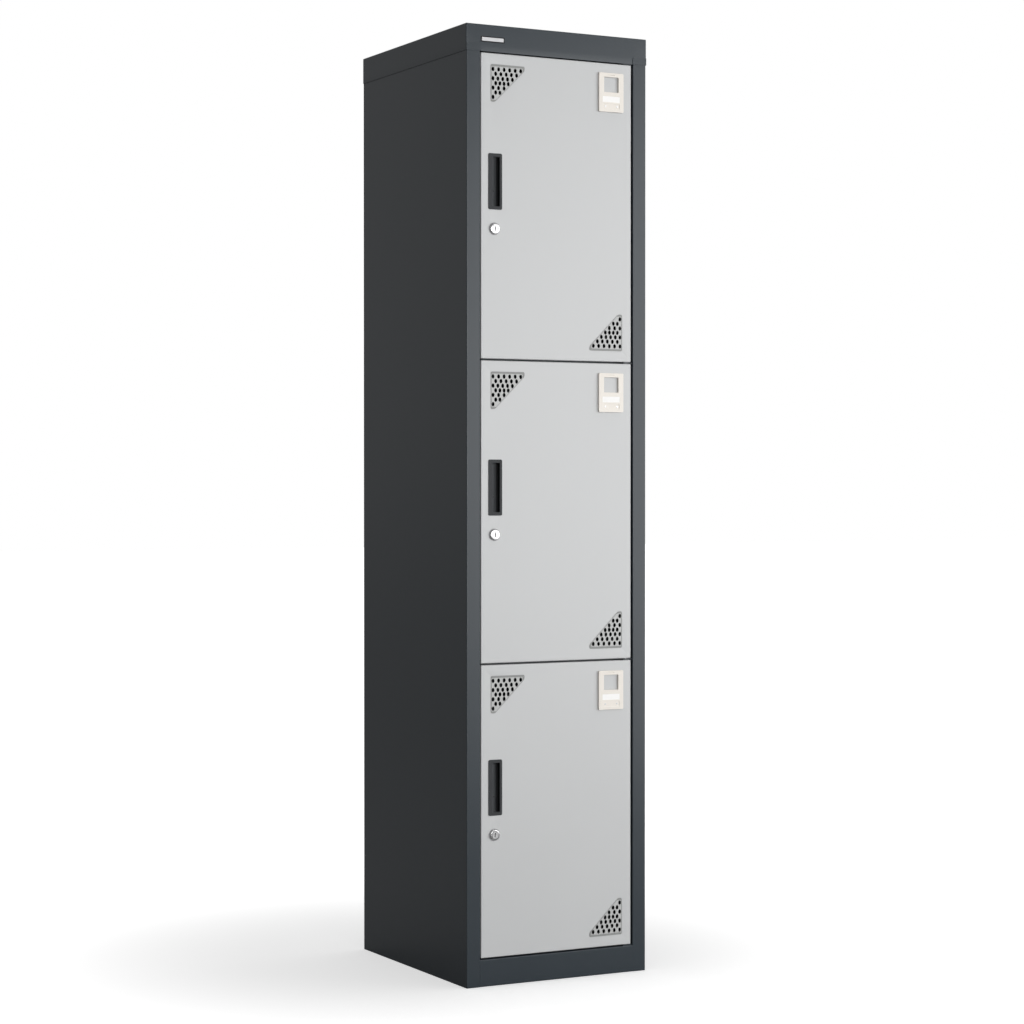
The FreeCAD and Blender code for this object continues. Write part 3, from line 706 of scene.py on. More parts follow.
def draw_back(bm: BMesh, edges: Sequence[BMEdge], distance: float) -> Loop:
    """Pulls a wall back along Y from a loop.

    Args:
        bm: the mesh.
        edges: the loop.
        distance: how far.

    Returns:
        The loop at the wall's far end.
    """
    made = bmesh.ops.extrude_edge_only(bm, edges=list(edges))["geom"]
    verts = set(only(BMVert, made))
    bmesh.ops.translate(bm, vec=(0.0, distance, 0.0), verts=list(verts))
    return [edge for edge in only(BMEdge, made) if set(edge.verts) <= verts]


def add_plate(
    bm: BMesh, outline: Sequence[BMEdge], holes: Sequence[Sequence[BMEdge]], thickness: float
) -> None:
    """Closes a flat plate with holes through it, from loops on its front.

    Args:
        bm: the mesh.
        outline: the loop round its front.
        holes: a loop for each hole, on its front.
        thickness: how far back it reaches.
    """
    loops = [list(outline), *[list(hole) for hole in holes]]
    fill(bm, [edge for loop in loops for edge in loop])
    backs = [draw_back(bm, loop, thickness) for loop in loops]
    fill(bm, [edge for loop in backs for edge in loop])


def add_folded_sheet(
    bm: BMesh, section: Sequence[Vector], run: Vector, fold_radius: float
) -> list[BMFace]:
    """An open sheet with rounded folds.

    Args:
        bm: the mesh.
        section: the sheet's outer surface in section, from edge to edge.
        run: the way and length that the section is drawn along.
        fold_radius: outer radius of each fold.

    Returns:
        The sheet's faces.
    """
    verts = [bm.verts.new(point) for point in section]
    edges = [bm.edges.new(pair) for pair in zip(verts[:-1], verts[1:])]
    made = bmesh.ops.extrude_edge_only(bm, edges=edges)["geom"]
    bmesh.ops.translate(bm, vec=run, verts=only(BMVert, made))
    faces = only(BMFace, made)
    folds = {edge for face in faces for edge in face.edges if len(edge.link_faces) == 2}
    round_edges(bm, list(folds), fold_radius, 3)
    return list(bm.faces)


def cut(bm: BMesh, point: Sequence[float], normal: Sequence[float]) -> None:
    """Cuts every face that a plane crosses, and keeps both parts.

    Args:
        bm: the mesh.
        point: a place on the plane.
        normal: the plane's normal.
    """
    everything = [*bm.verts, *bm.edges, *bm.faces]
    bmesh.ops.bisect_plane(bm, geom=everything, plane_co=point, plane_no=normal)


def face_towards(bm: BMesh, way: Vector) -> None:
    """Turns an open sheet over if its largest face doesn't point the given way.

    Args:
        bm: the mesh, which holds one sheet.
        way: where its largest face across that way should point.
    """
    bmesh.ops.recalc_face_normals(bm, faces=list(bm.faces))
    faces = sorted(bm.faces, key=lambda face: face.calc_area(), reverse=True)
    lead = next(face for face in faces if abs(face.normal.dot(way)) > FACING)
    if lead.normal.dot(way) < 0.0:
        bmesh.ops.reverse_faces(bm, faces=list(bm.faces))


@dataclass(frozen=True)
class Workshop:
    """Turns a bmesh into a finished piece that rides on its body."""

    paint: Paintshop

    def piece(
        self, name: str, bm: BMesh, body: str, slot: Slot, replaces: Sequence[str],
        sheet: float = 0.0, edge: float = 0.0, edge_segments: int = 2, closed: bool = True,
    ) -> Object:
        """Makes a piece.

        Args:
            name: the piece's name.
            bm: its mesh, in the frame; it is freed.
            body: the body that it rides on.
            slot: its finish.
            replaces: the frame nodes that it stands for.
            sheet: thickness given to an open sheet, inwards.
            edge: width of the small bevel on sharp edges.
            edge_segments: steps in that bevel.
            closed: whether normals are recalculated here, as on a closed shape.

        Returns:
            The piece.
        """
        bmesh.ops.remove_doubles(bm, verts=list(bm.verts), dist=MERGE_DISTANCE)
        if closed:
            bmesh.ops.recalc_face_normals(bm, faces=list(bm.faces))
        for face in bm.faces:
            face.smooth = True
        mesh = bpy.data.meshes.new(name)
        bm.to_mesh(mesh)
        bm.free()
        mesh.set_sharp_from_angle(angle=SMOOTH_ANGLE)
        mesh.materials.append(self.paint.material(FINISHES[slot]))
        piece = bpy.data.objects.new(name, mesh)
        bpy.context.scene.collection.objects.link(piece)
        if sheet > 0.0:
            self._thicken(piece, sheet)
        if edge > 0.0:
            self._ease(piece, edge, edge_segments)
        even = piece.modifiers.new("even_shading", "WEIGHTED_NORMAL")
        even.keep_sharp = True
        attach(piece, body)
        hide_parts(*replaces)
        LOG.info("%s rides on %s, in %s", name, body, slot.value)
        return piece

    @staticmethod
    def _thicken(piece: Object, sheet: float) -> None:
        """Gives a sheet its thickness, on its inner side.

        Args:
            piece: the open sheet.
            sheet: its thickness.
        """
        solid = piece.modifiers.new("sheet", "SOLIDIFY")
        solid.thickness = sheet
        solid.offset = -1.0
        solid.use_even_offset = True

    @staticmethod
    def _ease(piece: Object, edge: float, segments: int) -> None:
        """Eases the sharp edges.

        Args:
            piece: the piece.
            edge: width of the bevel.
            segments: steps in it.
        """
        ease = piece.modifiers.new("eased_edges", "BEVEL")
        ease.width = edge
        ease.segments = segments
        ease.limit_method = "ANGLE"
        ease.angle_limit = SMOOTH_ANGLE
        ease.harden_normals = False


# ---------------------------------------------------------------- cabinet


@dataclass(frozen=True)
class Cabinet:
    """The folded shell: side panels, cap, plinth and badge."""

    shop: Workshop
    sheet: float = 1.0 * MM
    cap_sheet: float = 1.2 * MM
    fold: float = 1.6 * MM
    cap_fold: float = 1.8 * MM
    lap_height: float = 12.6 * MM
    lap_corner: float = 6.0 * MM
    stop_depth: float = 22.0 * MM
    stop_width: float = 12.0 * MM
    rear_flange: float = 16.0 * MM
    plinth_lip: float = 11.0 * MM
    foot_flange: float = 20.0 * MM
    shelf_ear: float = 15.0 * MM
    edge: float = 0.25 * MM
    rail_lap: float = 0.9 * MM       # of each end of the plinth rail, into a stile's fold
    lap_inset: float = 0.6 * MM
    lap_edge: float = 0.45 * MM
    badge_corner: float = 1.2 * MM
    badge_edge: float = 0.15 * MM
    badge_bar_proud: float = 0.3 * MM
    badge_bar_sunk: float = 0.1 * MM
    badge_bar_corner: float = 1.0 * MM
    badge_bar_edge: float = 0.1 * MM
    badge_bar_inset: tuple[float, float] = (2.0 * MM, 1.9 * MM)

    def build(self) -> None:
        """Builds the visible shell and dresses the rest of the cabinet."""
        self.side_panel("left_side_panel", -1.0)
        self.side_panel("right_side_panel", 1.0)
        self.top_cap()
        self.plinth_rail()
        self.shelf("upper_shelf")
        self.shelf("lower_shelf")
        self.blank_badge()
        self.shop.paint.dress_nodes(
            Slot.GRAPHITE,
            ("back_panel", "header_rail", "floor_pan", "hinge_plates"),
        )
        self.shop.paint.dress_nodes(Slot.ZINC, ("hinge_pins",))
        self.shop.paint.dress_nodes(Slot.RUBBER, ("door_buffers",))

    @property
    def front(self) -> float:
        """The face of the stiles."""
        return Box.of("plinth_rail").low.y

    def side_panel(self, name: str, side: float) -> None:
        """A wall folded into its rear flange, stile, return and door stop.

        Args:
            name: the node that it replaces.
            side: -1 for the left panel and 1 for the right.
        """
        panel, rail, cap = Box.of(name), Box.of("header_rail"), Box.of("top_cap")
        outer = side * max(abs(panel.low.x), abs(panel.high.x))
        opening = side * max(abs(rail.low.x), abs(rail.high.x))
        rear = panel.high.y
        stop_y = self.front + self.stop_depth
        section = [
            Vector((outer - side * self.rear_flange, rear, 0.0)),
            Vector((outer, rear, 0.0)),
            Vector((outer, self.front, 0.0)),
            Vector((opening, self.front, 0.0)),
            Vector((opening, stop_y, 0.0)),
            Vector((opening - side * self.stop_width, stop_y, 0.0)),
        ]
        top = cap.low.z + self.lap_height - self.sheet
        bm = bmesh.new()
        add_folded_sheet(bm, section, Vector((0.0, 0.0, top)), self.fold)
        self._trim_stop(bm, side, opening, Box.of("plinth_rail").high.z, cap.low.z)
        self._folded(name, bm, Vector((side, 0.0, 0.0)))
        self.foot(name, side, outer, rear)

    def _folded(self, node: str, bm: BMesh, way: Vector) -> None:
        """Makes an open folded sheet into the piece that stands for a node.

        Args:
            node: the node.
            bm: the sheet's outer surface.
            way: where its largest face across that way points.
        """
        face_towards(bm, way)
        self.shop.piece(
            f"{node}_folded", bm, CABINET_BODY, Slot.GRAPHITE, (node,), sheet=self.sheet,
            edge=self.edge, edge_segments=1, closed=False,
        )

    @staticmethod
    def _trim_stop(bm: BMesh, side: float, opening: float, low: float, high: float) -> None:
        """Cuts the door stop to the height of the opening.

        Args:
            bm: the panel.
            side: -1 for the left panel and 1 for the right.
            opening: x of the opening's edge.
            low: the opening's lower end.
            high: the opening's upper end.
        """
        for z in (low, high):
            cut(bm, (0.0, 0.0, z), UP)
        beyond = []
        past_fold = 2.0 * MM
        for face in bm.faces:
            centre = face.calc_center_median()
            inside = side * centre.x < side * opening - past_fold
            if inside and centre.y < 0.0 and not low < centre.z < high:
                beyond.append(face)
        bmesh.ops.delete(bm, geom=beyond, context="FACES")

    def foot(self, name: str, side: float, outer: float, rear: float) -> None:
        """The flange that the side panel stands on.

        Args:
            name: the panel's node.
            side: -1 for the left panel and 1 for the right.
            outer: x of the panel's outer face.
            rear: y of the panel's rear face.
        """
        bm = bmesh.new()
        inner = outer - side * (self.foot_flange + self.sheet)
        near, far = sorted((inner, outer - side * self.sheet))
        start = self.front + self.stop_depth + 2.0 * self.sheet
        add_block(bm, (near, start, 0.0), (far, rear - self.sheet, self.sheet))
        self.shop.piece(
            f"{name}_foot", bm, CABINET_BODY, Slot.GRAPHITE, (name,), edge=self.edge,
        )

    def top_cap(self) -> None:
        """The lid-shaped cap and its two joggled corners."""
        cap, rail = Box.of("top_cap"), Box.of("header_rail")
        front = cap.low.y + self.cap_sheet
        bm = bmesh.new()
        faces = add_block(bm, (cap.low.x, front, cap.low.z), cap.high)
        bottom = [face for face in faces if face.normal.z < -FACING]
        open_edges = set(bottom[0].edges)
        bmesh.ops.delete(bm, geom=bottom, context="FACES_ONLY")
        round_edges(bm, [edge for edge in bm.edges if edge not in open_edges], self.cap_fold, 4)
        self._cut_corners(bm, rail, front, cap.low.z + self.lap_height)
        face_towards(bm, UP)
        self.shop.piece(
            "top_cap_folded", bm, CABINET_BODY, Slot.GRAPHITE, ("top_cap",),
            sheet=self.cap_sheet, closed=False,
        )
        for label, side in (("left", -1.0), ("right", 1.0)):
            self.corner_lap(f"top_cap_{label}_lap", side, cap, rail)

    def _cut_corners(self, bm: BMesh, rail: Box, front: float, lap_top: float) -> None:
        """Opens the front skirt where a joggled corner takes its place.

        Args:
            bm: the cap.
            rail: the header rail's box, which gives the door opening.
            front: y of the front skirt.
            lap_top: top of the joggled corners.
        """
        planes = (
            ((0.0, 0.0, lap_top), UP),
            ((rail.low.x, 0.0, 0.0), (1.0, 0.0, 0.0)),
            ((rail.high.x, 0.0, 0.0), (1.0, 0.0, 0.0)),
        )
        for point, normal in planes:
            cut(bm, point, normal)
        corners = []
        for face in bm.faces:
            centre = face.calc_center_median()
            on_front = abs(centre.y - front) < TOUCH
            if on_front and centre.z < lap_top and abs(centre.x) > rail.high.x:
                corners.append(face)
        bmesh.ops.delete(bm, geom=corners, context="FACES")

    def corner_lap(self, name: str, side: float, cap: Box, rail: Box) -> None:
        """One joggled corner, over the top of a stile.

        Args:
            name: the piece's name.
            side: -1 for the left corner and 1 for the right.
            cap: the cap's box.
            rail: the header rail's box, which gives the door opening.
        """
        outer = side * (cap.high.x - self.lap_inset)
        inner = side * (rail.high.x - self.cap_sheet)
        top = cap.low.z + self.lap_height + self.cap_sheet
        y = cap.low.y
        points = [
            Vector((outer, y, cap.low.z)), Vector((outer, y, top)), Vector((inner, y, top)),
            Vector((inner, y, cap.low.z)),
        ]
        bm = bmesh.new()
        add_plate(bm, loop_of_points(bm, points, self.lap_corner, 8, (2,)), (), self.cap_sheet)
        self.shop.piece(
            name, bm, CABINET_BODY, Slot.GRAPHITE, ("top_cap",), edge=self.lap_edge, edge_segments=3
        )

    def plinth_rail(self) -> None:
        """The rail under the bottom door, folded at its top and at the floor."""
        rail = Box.of("plinth_rail")
        lip_y = rail.low.y + self.stop_depth
        x = rail.low.x - self.rail_lap
        section = [
            Vector((x, rail.high.y, rail.low.z)),
            Vector((x, rail.low.y, rail.low.z)),
            Vector((x, rail.low.y, rail.high.z)),
            Vector((x, lip_y, rail.high.z)),
            Vector((x, lip_y, rail.high.z - self.plinth_lip)),
        ]
        bm = bmesh.new()
        run = Vector((rail.size.x + 2.0 * self.rail_lap, 0.0, 0.0))
        add_folded_sheet(bm, section, run, self.fold)
        self._folded("plinth_rail", bm, FORWARD)

    def shelf(self, name: str) -> None:
        """A shelf with a deep apron in front and a shallow ear at each side.

        Args:
            name: the node that it replaces.
        """
        box = Box.of(name)
        bm = bmesh.new()
        faces = add_block(bm, box.low, box.high)
        unwanted = [
            face for face in faces if face.normal.z < -FACING or face.normal.y > FACING
        ]
        bmesh.ops.delete(bm, geom=unwanted, context="FACES")
        folds = [edge for edge in bm.edges if len(edge.link_faces) == 2]
        round_edges(bm, folds, self.fold, 4)
        ear_end = box.high.z - self.shelf_ear
        cut(bm, (0.0, 0.0, ear_end), UP)
        bm.normal_update()
        flat_side = 0.99
        below = [
            face for face in bm.faces
            if abs(face.normal.x) > flat_side and face.calc_center_median().z < ear_end
        ]
        bmesh.ops.delete(bm, geom=below, context="FACES")
        self._folded(name, bm, UP)

    def blank_badge(self) -> None:
        """A dark plate with a plain bright bar in it."""
        badge = Box.of("blank_badge")
        plate_y = badge.low.y + self.badge_bar_proud
        bm = bmesh.new()
        outline = loop_of_points(bm, badge.outline(plate_y), self.badge_corner)
        add_plate(bm, outline, (), badge.high.y - plate_y)
        plate = self.shop.piece(
            "blank_badge_plate", bm, CABINET_BODY, Slot.BLACK, ("blank_badge",),
            edge=self.badge_edge,
        )
        plate.data.materials[0] = self.shop.paint.material(BADGE_BACKING)
        inset_x, inset_z = self.badge_bar_inset
        bar_low = (badge.low.x + inset_x, badge.low.z + inset_z)
        bar_high = (badge.high.x - inset_x, badge.high.z - inset_z)
        bm = bmesh.new()
        bar = loop_of_points(bm, rectangle(bar_low, bar_high, badge.low.y), self.badge_bar_corner)
        add_plate(bm, bar, (), self.badge_bar_proud + self.badge_bar_sunk)
        self.shop.piece(
            "blank_badge_bar", bm, CABINET_BODY, Slot.BADGE, ("blank_badge",),
            edge=self.badge_bar_edge,
        )


# ---------------------------------------------------------------- doors


@dataclass(frozen=True)
class VentShape:
    """The outline and the hole pattern of a triangular vent."""

    blunt: float = 8.5 * MM
    corner: float = 3.0 * MM
    lap: float = 0.9 * MM
    bead_end: float = 4.0 * MM
    bead_side: float = 1.3 * MM
    bead_slope: float = 0.8 * MM
    bead_corner: float = 1.6 * MM
    bead_height: float = 0.4 * MM
    web: float = 1.2 * MM
    rim_wall: float = 0.45 * MM
    hole_width: float = 6.0 * MM
    hole_height: float = 8.2 * MM
    rows: tuple[int, ...] = (6, 5, 5, 4, 3, 2, 1)
    row_pitch: float = 8.7 * MM
    first_row: float = 9.2 * MM
    first_column: float = 4.6 * MM
    stagger: float = 5.7 * MM
    to_slope: float = 7.4 * MM
    hole_steps: int = 18

    def place(self, box: Box, upper: bool) -> Callable[[float, float], tuple[float, float]]:
        """A function from the vent's own directions to x and z.

        Args:
            box: the vent's box.
            upper: whether its square corner is at the top left, not the bottom right.

        Returns:
            The function, of the distances from the square corner along the
            straight top or bottom edge and along the straight side edge.
        """
        if upper:
            return lambda across, along: (box.low.x + across, box.high.z - along)
        return lambda across, along: (box.high.x - across, box.low.z + along)

    def outline(self, box: Box, upper: bool, inset: float, y: float) -> list[Vector]:
        """The corners of the outline, moved inwards by inset.

        Args:
            box: the vent's box.
            upper: whether its square corner is at the top left.
            inset: how far inwards.
            y: the depth that they lie at.

        Returns:
            The corners, in order.
        """
        at = self.place(box, upper)
        width, height = box.size.x - inset, box.size.z - inset
        blunt = self.blunt - inset * (math.sqrt(2.0) - 1.0)
        corners = (
            (inset, inset), (width, inset), (width, blunt), (blunt, height), (inset, height)
        )
        return [Vector((x, y, z)) for x, z in (at(*corner) for corner in corners)]

    def field(self, box: Box, upper: bool, y: float) -> list[Vector]:
        """The corners of the perforated field, inside the raised border.

        Args:
            box: the vent's box.
            upper: whether its square corner is at the top left.
            y: the depth that they lie at.

        Returns:
            The corners, in order.
        """
        at = self.place(box, upper)
        near_x, near_z = self.bead_side, self.bead_end
        far_x, far_z = box.size.x - self.bead_end, box.size.z - self.bead_end
        slope = (box.size.z - self.blunt) / (box.size.x - self.blunt)

        def edge_at(across: float) -> float:
            """How far the sloping side is from the end, less the bead."""
            reach = self.blunt + (box.size.x - across) * slope
            return min(reach - self.bead_slope * math.sqrt(2.0), far_z)

        low_x = box.size.x - (far_z + self.bead_slope * math.sqrt(2.0) - self.blunt) / slope
        corners = (
            (near_x, near_z), (far_x, near_z), (far_x, edge_at(far_x)), (low_x, far_z),
            (near_x, far_z),
        )
        return [Vector((x, y, z)) for x, z in (at(*corner) for corner in corners)]

    def holes(self, box: Box, upper: bool, y: float) -> list[Vector]:
        """The middles of the holes.

        Args:
            box: the vent's box.
            upper: whether its square corner is at the top left.
            y: the depth that they lie at.

        Returns:
            One place for each hole.
        """
        at = self.place(box, upper)
        slope = (box.size.x - self.blunt) / (box.size.z - self.blunt)
        middles = []
        for row, count in enumerate(self.rows):
            along = self.first_row + row * self.row_pitch
            first = self.first_column + self.stagger * (row % 2)
            last = box.size.x - (along - self.blunt) * slope - self.to_slope
            pitch = (last - first) / max(count - 1, 1)
            for column in range(count):
                x, z = at(first + column * pitch, along)
                middles.append(Vector((x, y, z)))
        return middles


@dataclass(frozen=True)
class DoorSet:
    """One door with everything mounted on it."""

    shop: Workshop
    tier: Tier
    vent: VentShape = VentShape()
    sheet: float = 1.0 * MM
    edge_radius: float = 2.0 * MM
    handle_proud: float = 1.2 * MM
    handle_corner: float = 3.0 * MM
    mouth_width: float = 16.4 * MM
    mouth_height: float = 93.0 * MM
    mouth_shift: float = 1.5 * MM
    mouth_corner: float = 1.5 * MM
    cup_wall: float = 1.6 * MM
    cup_floor: float = 4.2 * MM
    cup_undercut: float = 1.9 * MM
    cup_rounding: float = 1.4 * MM
    cup_play: float = 0.2 * MM
    flange_edge: float = 0.5 * MM
    vent_edge: float = 0.15 * MM
    bezel_radius: float = 11.5 * MM
    bezel_face_radius: float = 9.4 * MM
    bezel_rim: float = 2.2 * MM
    bezel_proud: float = 5.0 * MM
    barrel_radius: float = 9.0 * MM
    bore_radius: float = 6.55 * MM
    bezel_rounding: float = 0.6 * MM
    bezel_steps: int = 48
    barrel_hole_steps: int = 32
    holder_corner: float = 2.0 * MM
    window_width: float = 32.0 * MM
    window_height: float = 29.0 * MM
    window_drop: float = 7.9 * MM
    recess_width: float = 36.0 * MM
    recess_height: float = 10.0 * MM
    recess_depth: float = 0.8 * MM
    window_corner: float = 1.2 * MM
    recess_corner: float = 2.0 * MM
    card_corner: float = 0.4 * MM
    holder_edge: float = 0.25 * MM
    mark_length: float = 13.0 * MM
    mark_height: float = 1.6 * MM
    mark_drop: float = 0.3 * MM
    mark_corner: float = 0.6 * MM
    mark_depth: float = 1.2 * MM

    def build(self) -> None:
        """Builds the door's visible pieces and dresses the others."""
        self.door_panel()
        self.vent_insert("vent_upper", True)
        self.vent_insert("vent_lower", False)
        self.pull_handle()
        self.lock_housing()
        self.card_holder()
        self.name_card()
        paint = self.shop.paint
        node = self.tier.node
        paint.dress_nodes(Slot.GREY, (node("door_stiffener"),))
        paint.dress_nodes(Slot.BLACK_SCREW, (node("handle_screw"),))
        paint.dress_nodes(Slot.NYLON, (node("hinge_bushes"),))
        paint.dress_nodes(Slot.PLUG, (node("lock_plug"),))
        paint.dress_nodes(
            Slot.ZINC,
            (node("lock_nut"), node("lock_cam"), node("cam_screw"), node("card_holder_rivets")),
        )

    def box(self, piece: str) -> Box:
        """The box of one of this door's nodes."""
        return Box.of(self.tier.node(piece))

    def _piece(
        self, piece: str, suffix: str, bm: BMesh, slot: Slot, **how: object
    ) -> Object:
        """A piece that rides on this door and stands for its node.

        Args:
            piece: the node, without its door.
            suffix: the end of the piece's name.
            bm: its mesh.
            slot: its finish.
            how: what else Workshop.piece is told.

        Returns:
            The piece.
        """
        name = self.tier.node(piece)
        return self.shop.piece(f"{name}_{suffix}", bm, self.tier.door_body, slot, (name,), **how)

    def door_panel(self) -> None:
        """A folded pan with its windows and holes."""
        panel = self.box("door_panel")
        bm = bmesh.new()
        faces = add_block(bm, panel.low, panel.high)
        back = [face for face in faces if face.normal.y > FACING]
        open_edges = set(back[0].edges)
        bmesh.ops.delete(bm, geom=back, context="FACES_ONLY")
        round_edges(
            bm, [edge for edge in bm.edges if edge not in open_edges], self.edge_radius, 4
        )
        front = min(bm.faces, key=lambda face: (face.normal.y, -face.calc_area()))
        loops = list(front.edges)
        bmesh.ops.delete(bm, geom=[front], context="FACES_ONLY")
        for hole in self._panel_holes(bm, panel.low.y):
            loops.extend(hole)
        fill(bm, loops)
        face_towards(bm, FORWARD)
        self._piece("door_panel", "folded", bm, Slot.GREY, sheet=self.sheet, closed=False)

    def _panel_holes(self, bm: BMesh, y: float) -> list[Loop]:
        """The loops of the door's holes, on its face.

        Args:
            bm: the mesh.
            y: the door's face.

        Returns:
            A loop of edges for each hole.
        """
        handle, lock = self.box("pull_handle"), self.box("lock_housing").centre
        middle = handle.centre.x + self.mouth_shift
        half_width = self.mouth_width / 2.0 + self.cup_wall
        half_height = self.mouth_height / 2.0 + self.cup_wall
        cup_low = (middle - half_width, handle.centre.z - half_height)
        cup_high = (middle + half_width + self.cup_undercut, handle.centre.z + half_height)
        holes = [
            loop_of_points(bm, rectangle(cup_low, cup_high, y)),
            oval_loop(
                bm, Vector((lock.x, y, lock.z)), 2.0 * self.barrel_radius,
                2.0 * self.barrel_radius, self.barrel_hole_steps,
            ),
        ]
        for piece, upper in (("vent_upper", True), ("vent_lower", False)):
            corners = self.vent.outline(self.box(piece), upper, self.vent.lap, y)
            holes.append(loop_of_points(bm, corners, self.vent.corner - self.vent.lap))
        return holes

    def vent_insert(self, piece: str, upper: bool) -> None:
        """A moulded vent: perforated field with a raised border and a plug behind; the border and
        the hole walls are darkened with painted shade.

        Args:
            piece: the vent's node, without its door.
            upper: whether its square corner is at the top left.
        """
        box = self.box(piece)
        shape = self.vent
        bm = bmesh.new()
        front = box.low.y
        field_y = front + shape.bead_height
        outline = loop_of_points(bm, shape.outline(box, upper, 0.0, front), shape.corner)
        border = loop_of_points(bm, shape.field(box, upper, front), shape.bead_corner)
        # The raised border takes the darker border material: painted shade.
        for face in fill(bm, [*outline, *border]):
            face.material_index = 1
        field = draw_back(bm, border, shape.bead_height)
        holes = [
            oval_loop(bm, middle, shape.hole_width, shape.hole_height, shape.hole_steps)
            for middle in shape.holes(box, upper, field_y)
        ]
        fill(bm, [*field, *[edge for hole in holes for edge in hole]])
        # The hole walls take the darkest material: painted shade in the holes.
        earlier = set(bm.faces)
        backs = [draw_back(bm, hole, shape.web) for hole in holes]
        for face in set(bm.faces) - earlier:
            face.material_index = 2
        rear_y = field_y + shape.web
        inset = shape.lap + shape.rim_wall
        hollow = loop_of_points(
            bm, shape.outline(box, upper, inset, rear_y), shape.corner - inset
        )
        fill(bm, [*hollow, *[edge for back in backs for edge in back]])
        hollow_back = draw_back(bm, hollow, box.high.y - rear_y)
        rim = draw_back(bm, outline, self.box("door_panel").low.y - front)
        plug = loop_of_points(
            bm, shape.outline(box, upper, shape.lap, self.box("door_panel").low.y),
            shape.corner - shape.lap,
        )
        fill(bm, [*rim, *plug])
        plug_back = draw_back(bm, plug, box.high.y - self.box("door_panel").low.y)
        fill(bm, [*plug_back, *hollow_back])
        vent = self._piece(piece, "moulding", bm, Slot.VENT, edge=self.vent_edge)
        # Second and third materials: painted shade on the border and in the holes.
        for finish in (VENT_BORDER_SHADE, VENT_HOLE_SHADE):
            vent.data.materials.append(self.shop.paint.material(finish))

    def pull_handle(self) -> None:
        """The recessed pull: a flange with a mouth, and a ramped cup behind it."""
        box = self.box("pull_handle")
        bm = bmesh.new()
        middle = box.centre.x + self.mouth_shift
        half_mouth = self.mouth_width / 2.0
        half_height = self.mouth_height / 2.0
        outline = loop_of_points(bm, box.outline(box.low.y), self.handle_corner, 6)
        mouth = loop_of_points(
            bm, centred(middle, box.centre.z, self.mouth_width, self.mouth_height, box.low.y),
            self.mouth_corner, 5,
        )
        add_plate(bm, outline, (mouth,), self.handle_proud)
        self._piece(
            "pull_handle", "flange", bm, Slot.BLACK, edge=self.flange_edge, edge_segments=3
        )
        self._cup(box, middle, half_mouth, half_height)

    def _cup(self, box: Box, middle: float, half_mouth: float, half_height: float) -> None:
        """The cup: a ramp, a floor and an undercut wall, closed at both ends; the ramp is painted
        lighter than the flange (painted light) and the floor and wall darker (painted shade).

        Args:
            box: the handle's box.
            middle: x of the mouth's middle.
            half_mouth: half the mouth's width.
            half_height: half the mouth's height.
        """
        bm = bmesh.new()
        lip = box.low.y + self.handle_proud
        floor = box.high.y - self.cup_wall
        shallow, deep = middle - half_mouth, middle + half_mouth
        wall = deep + self.cup_undercut
        z = box.centre.z - half_height
        section = [
            Vector((shallow, lip, z)), Vector((wall - self.cup_floor, floor, z)),
            Vector((wall, floor, z)), Vector((wall, lip, z)),
        ]
        end = bm.faces.new([bm.verts.new(point) for point in section])
        made = bmesh.ops.extrude_face_region(bm, geom=[end], use_keep_orig=True)["geom"]
        bmesh.ops.translate(bm, vec=(0.0, 0.0, 2.0 * half_height), verts=only(BMVert, made))
        mouth = [
            face for face in bm.faces
            if all(abs(vert.co.y - lip) < TOUCH for vert in face.verts)
        ]
        # The floor and the undercut wall take the darker material: painted shade in the cup.
        for face in bm.faces:
            if face.calc_center_median().x > wall - self.cup_floor:
                face.material_index = 1
        open_edges = set(mouth[0].edges)
        bmesh.ops.recalc_face_normals(bm, faces=list(bm.faces))
        bmesh.ops.reverse_faces(bm, faces=list(bm.faces))
        bmesh.ops.delete(bm, geom=mouth, context="FACES_ONLY")
        round_edges(bm, [edge for edge in bm.edges if edge not in open_edges], self.cup_rounding, 3)
        cup = self._piece(
            "pull_handle", "cup", bm, Slot.BLACK, sheet=self.cup_wall - self.cup_play, closed=False
        )
        # A lighter copy of the black moulding on the ramp and a darker one in the depth: painted
        # light and painted shade.
        cup.data.materials[0] = self.shop.paint.material(HANDLE_CUP_LIT)
        cup.data.materials.append(self.shop.paint.material(HANDLE_DEPTH_SHADE))

    def lock_housing(self) -> None:
        """The turned bezel and barrel."""
        box = self.box("lock_housing")
        centre = box.centre
        face = box.low.y
        shoulder = face + self.bezel_proud - self.bezel_rim
        seat = face + self.bezel_proud
        rounding = self.bezel_rounding
        profile = (
            (self.bore_radius, box.high.y), (self.bore_radius, face + rounding),
            (self.bore_radius + rounding, face), (self.bezel_face_radius - rounding, face),
            (self.bezel_face_radius, face + rounding / 2.0),
            (self.bezel_radius - rounding / 2.0, shoulder),
            (self.bezel_radius, shoulder + rounding), (self.bezel_radius, seat),
            (self.barrel_radius, seat), (self.barrel_radius, box.high.y),
        )
        bm = bmesh.new()
        verts = [bm.verts.new((centre.x + radius, y, centre.z)) for radius, y in profile]
        edges = [bm.edges.new((verts[i - 1], verts[i])) for i in range(len(verts))]
        bmesh.ops.spin(
            bm, geom=[*verts, *edges], cent=(centre.x, 0.0, centre.z), axis=(0.0, 1.0, 0.0),
            angle=2.0 * math.pi, steps=self.bezel_steps, use_merge=True, use_duplicate=False,
        )
        self._piece("lock_housing", "turned", bm, Slot.CHROME)

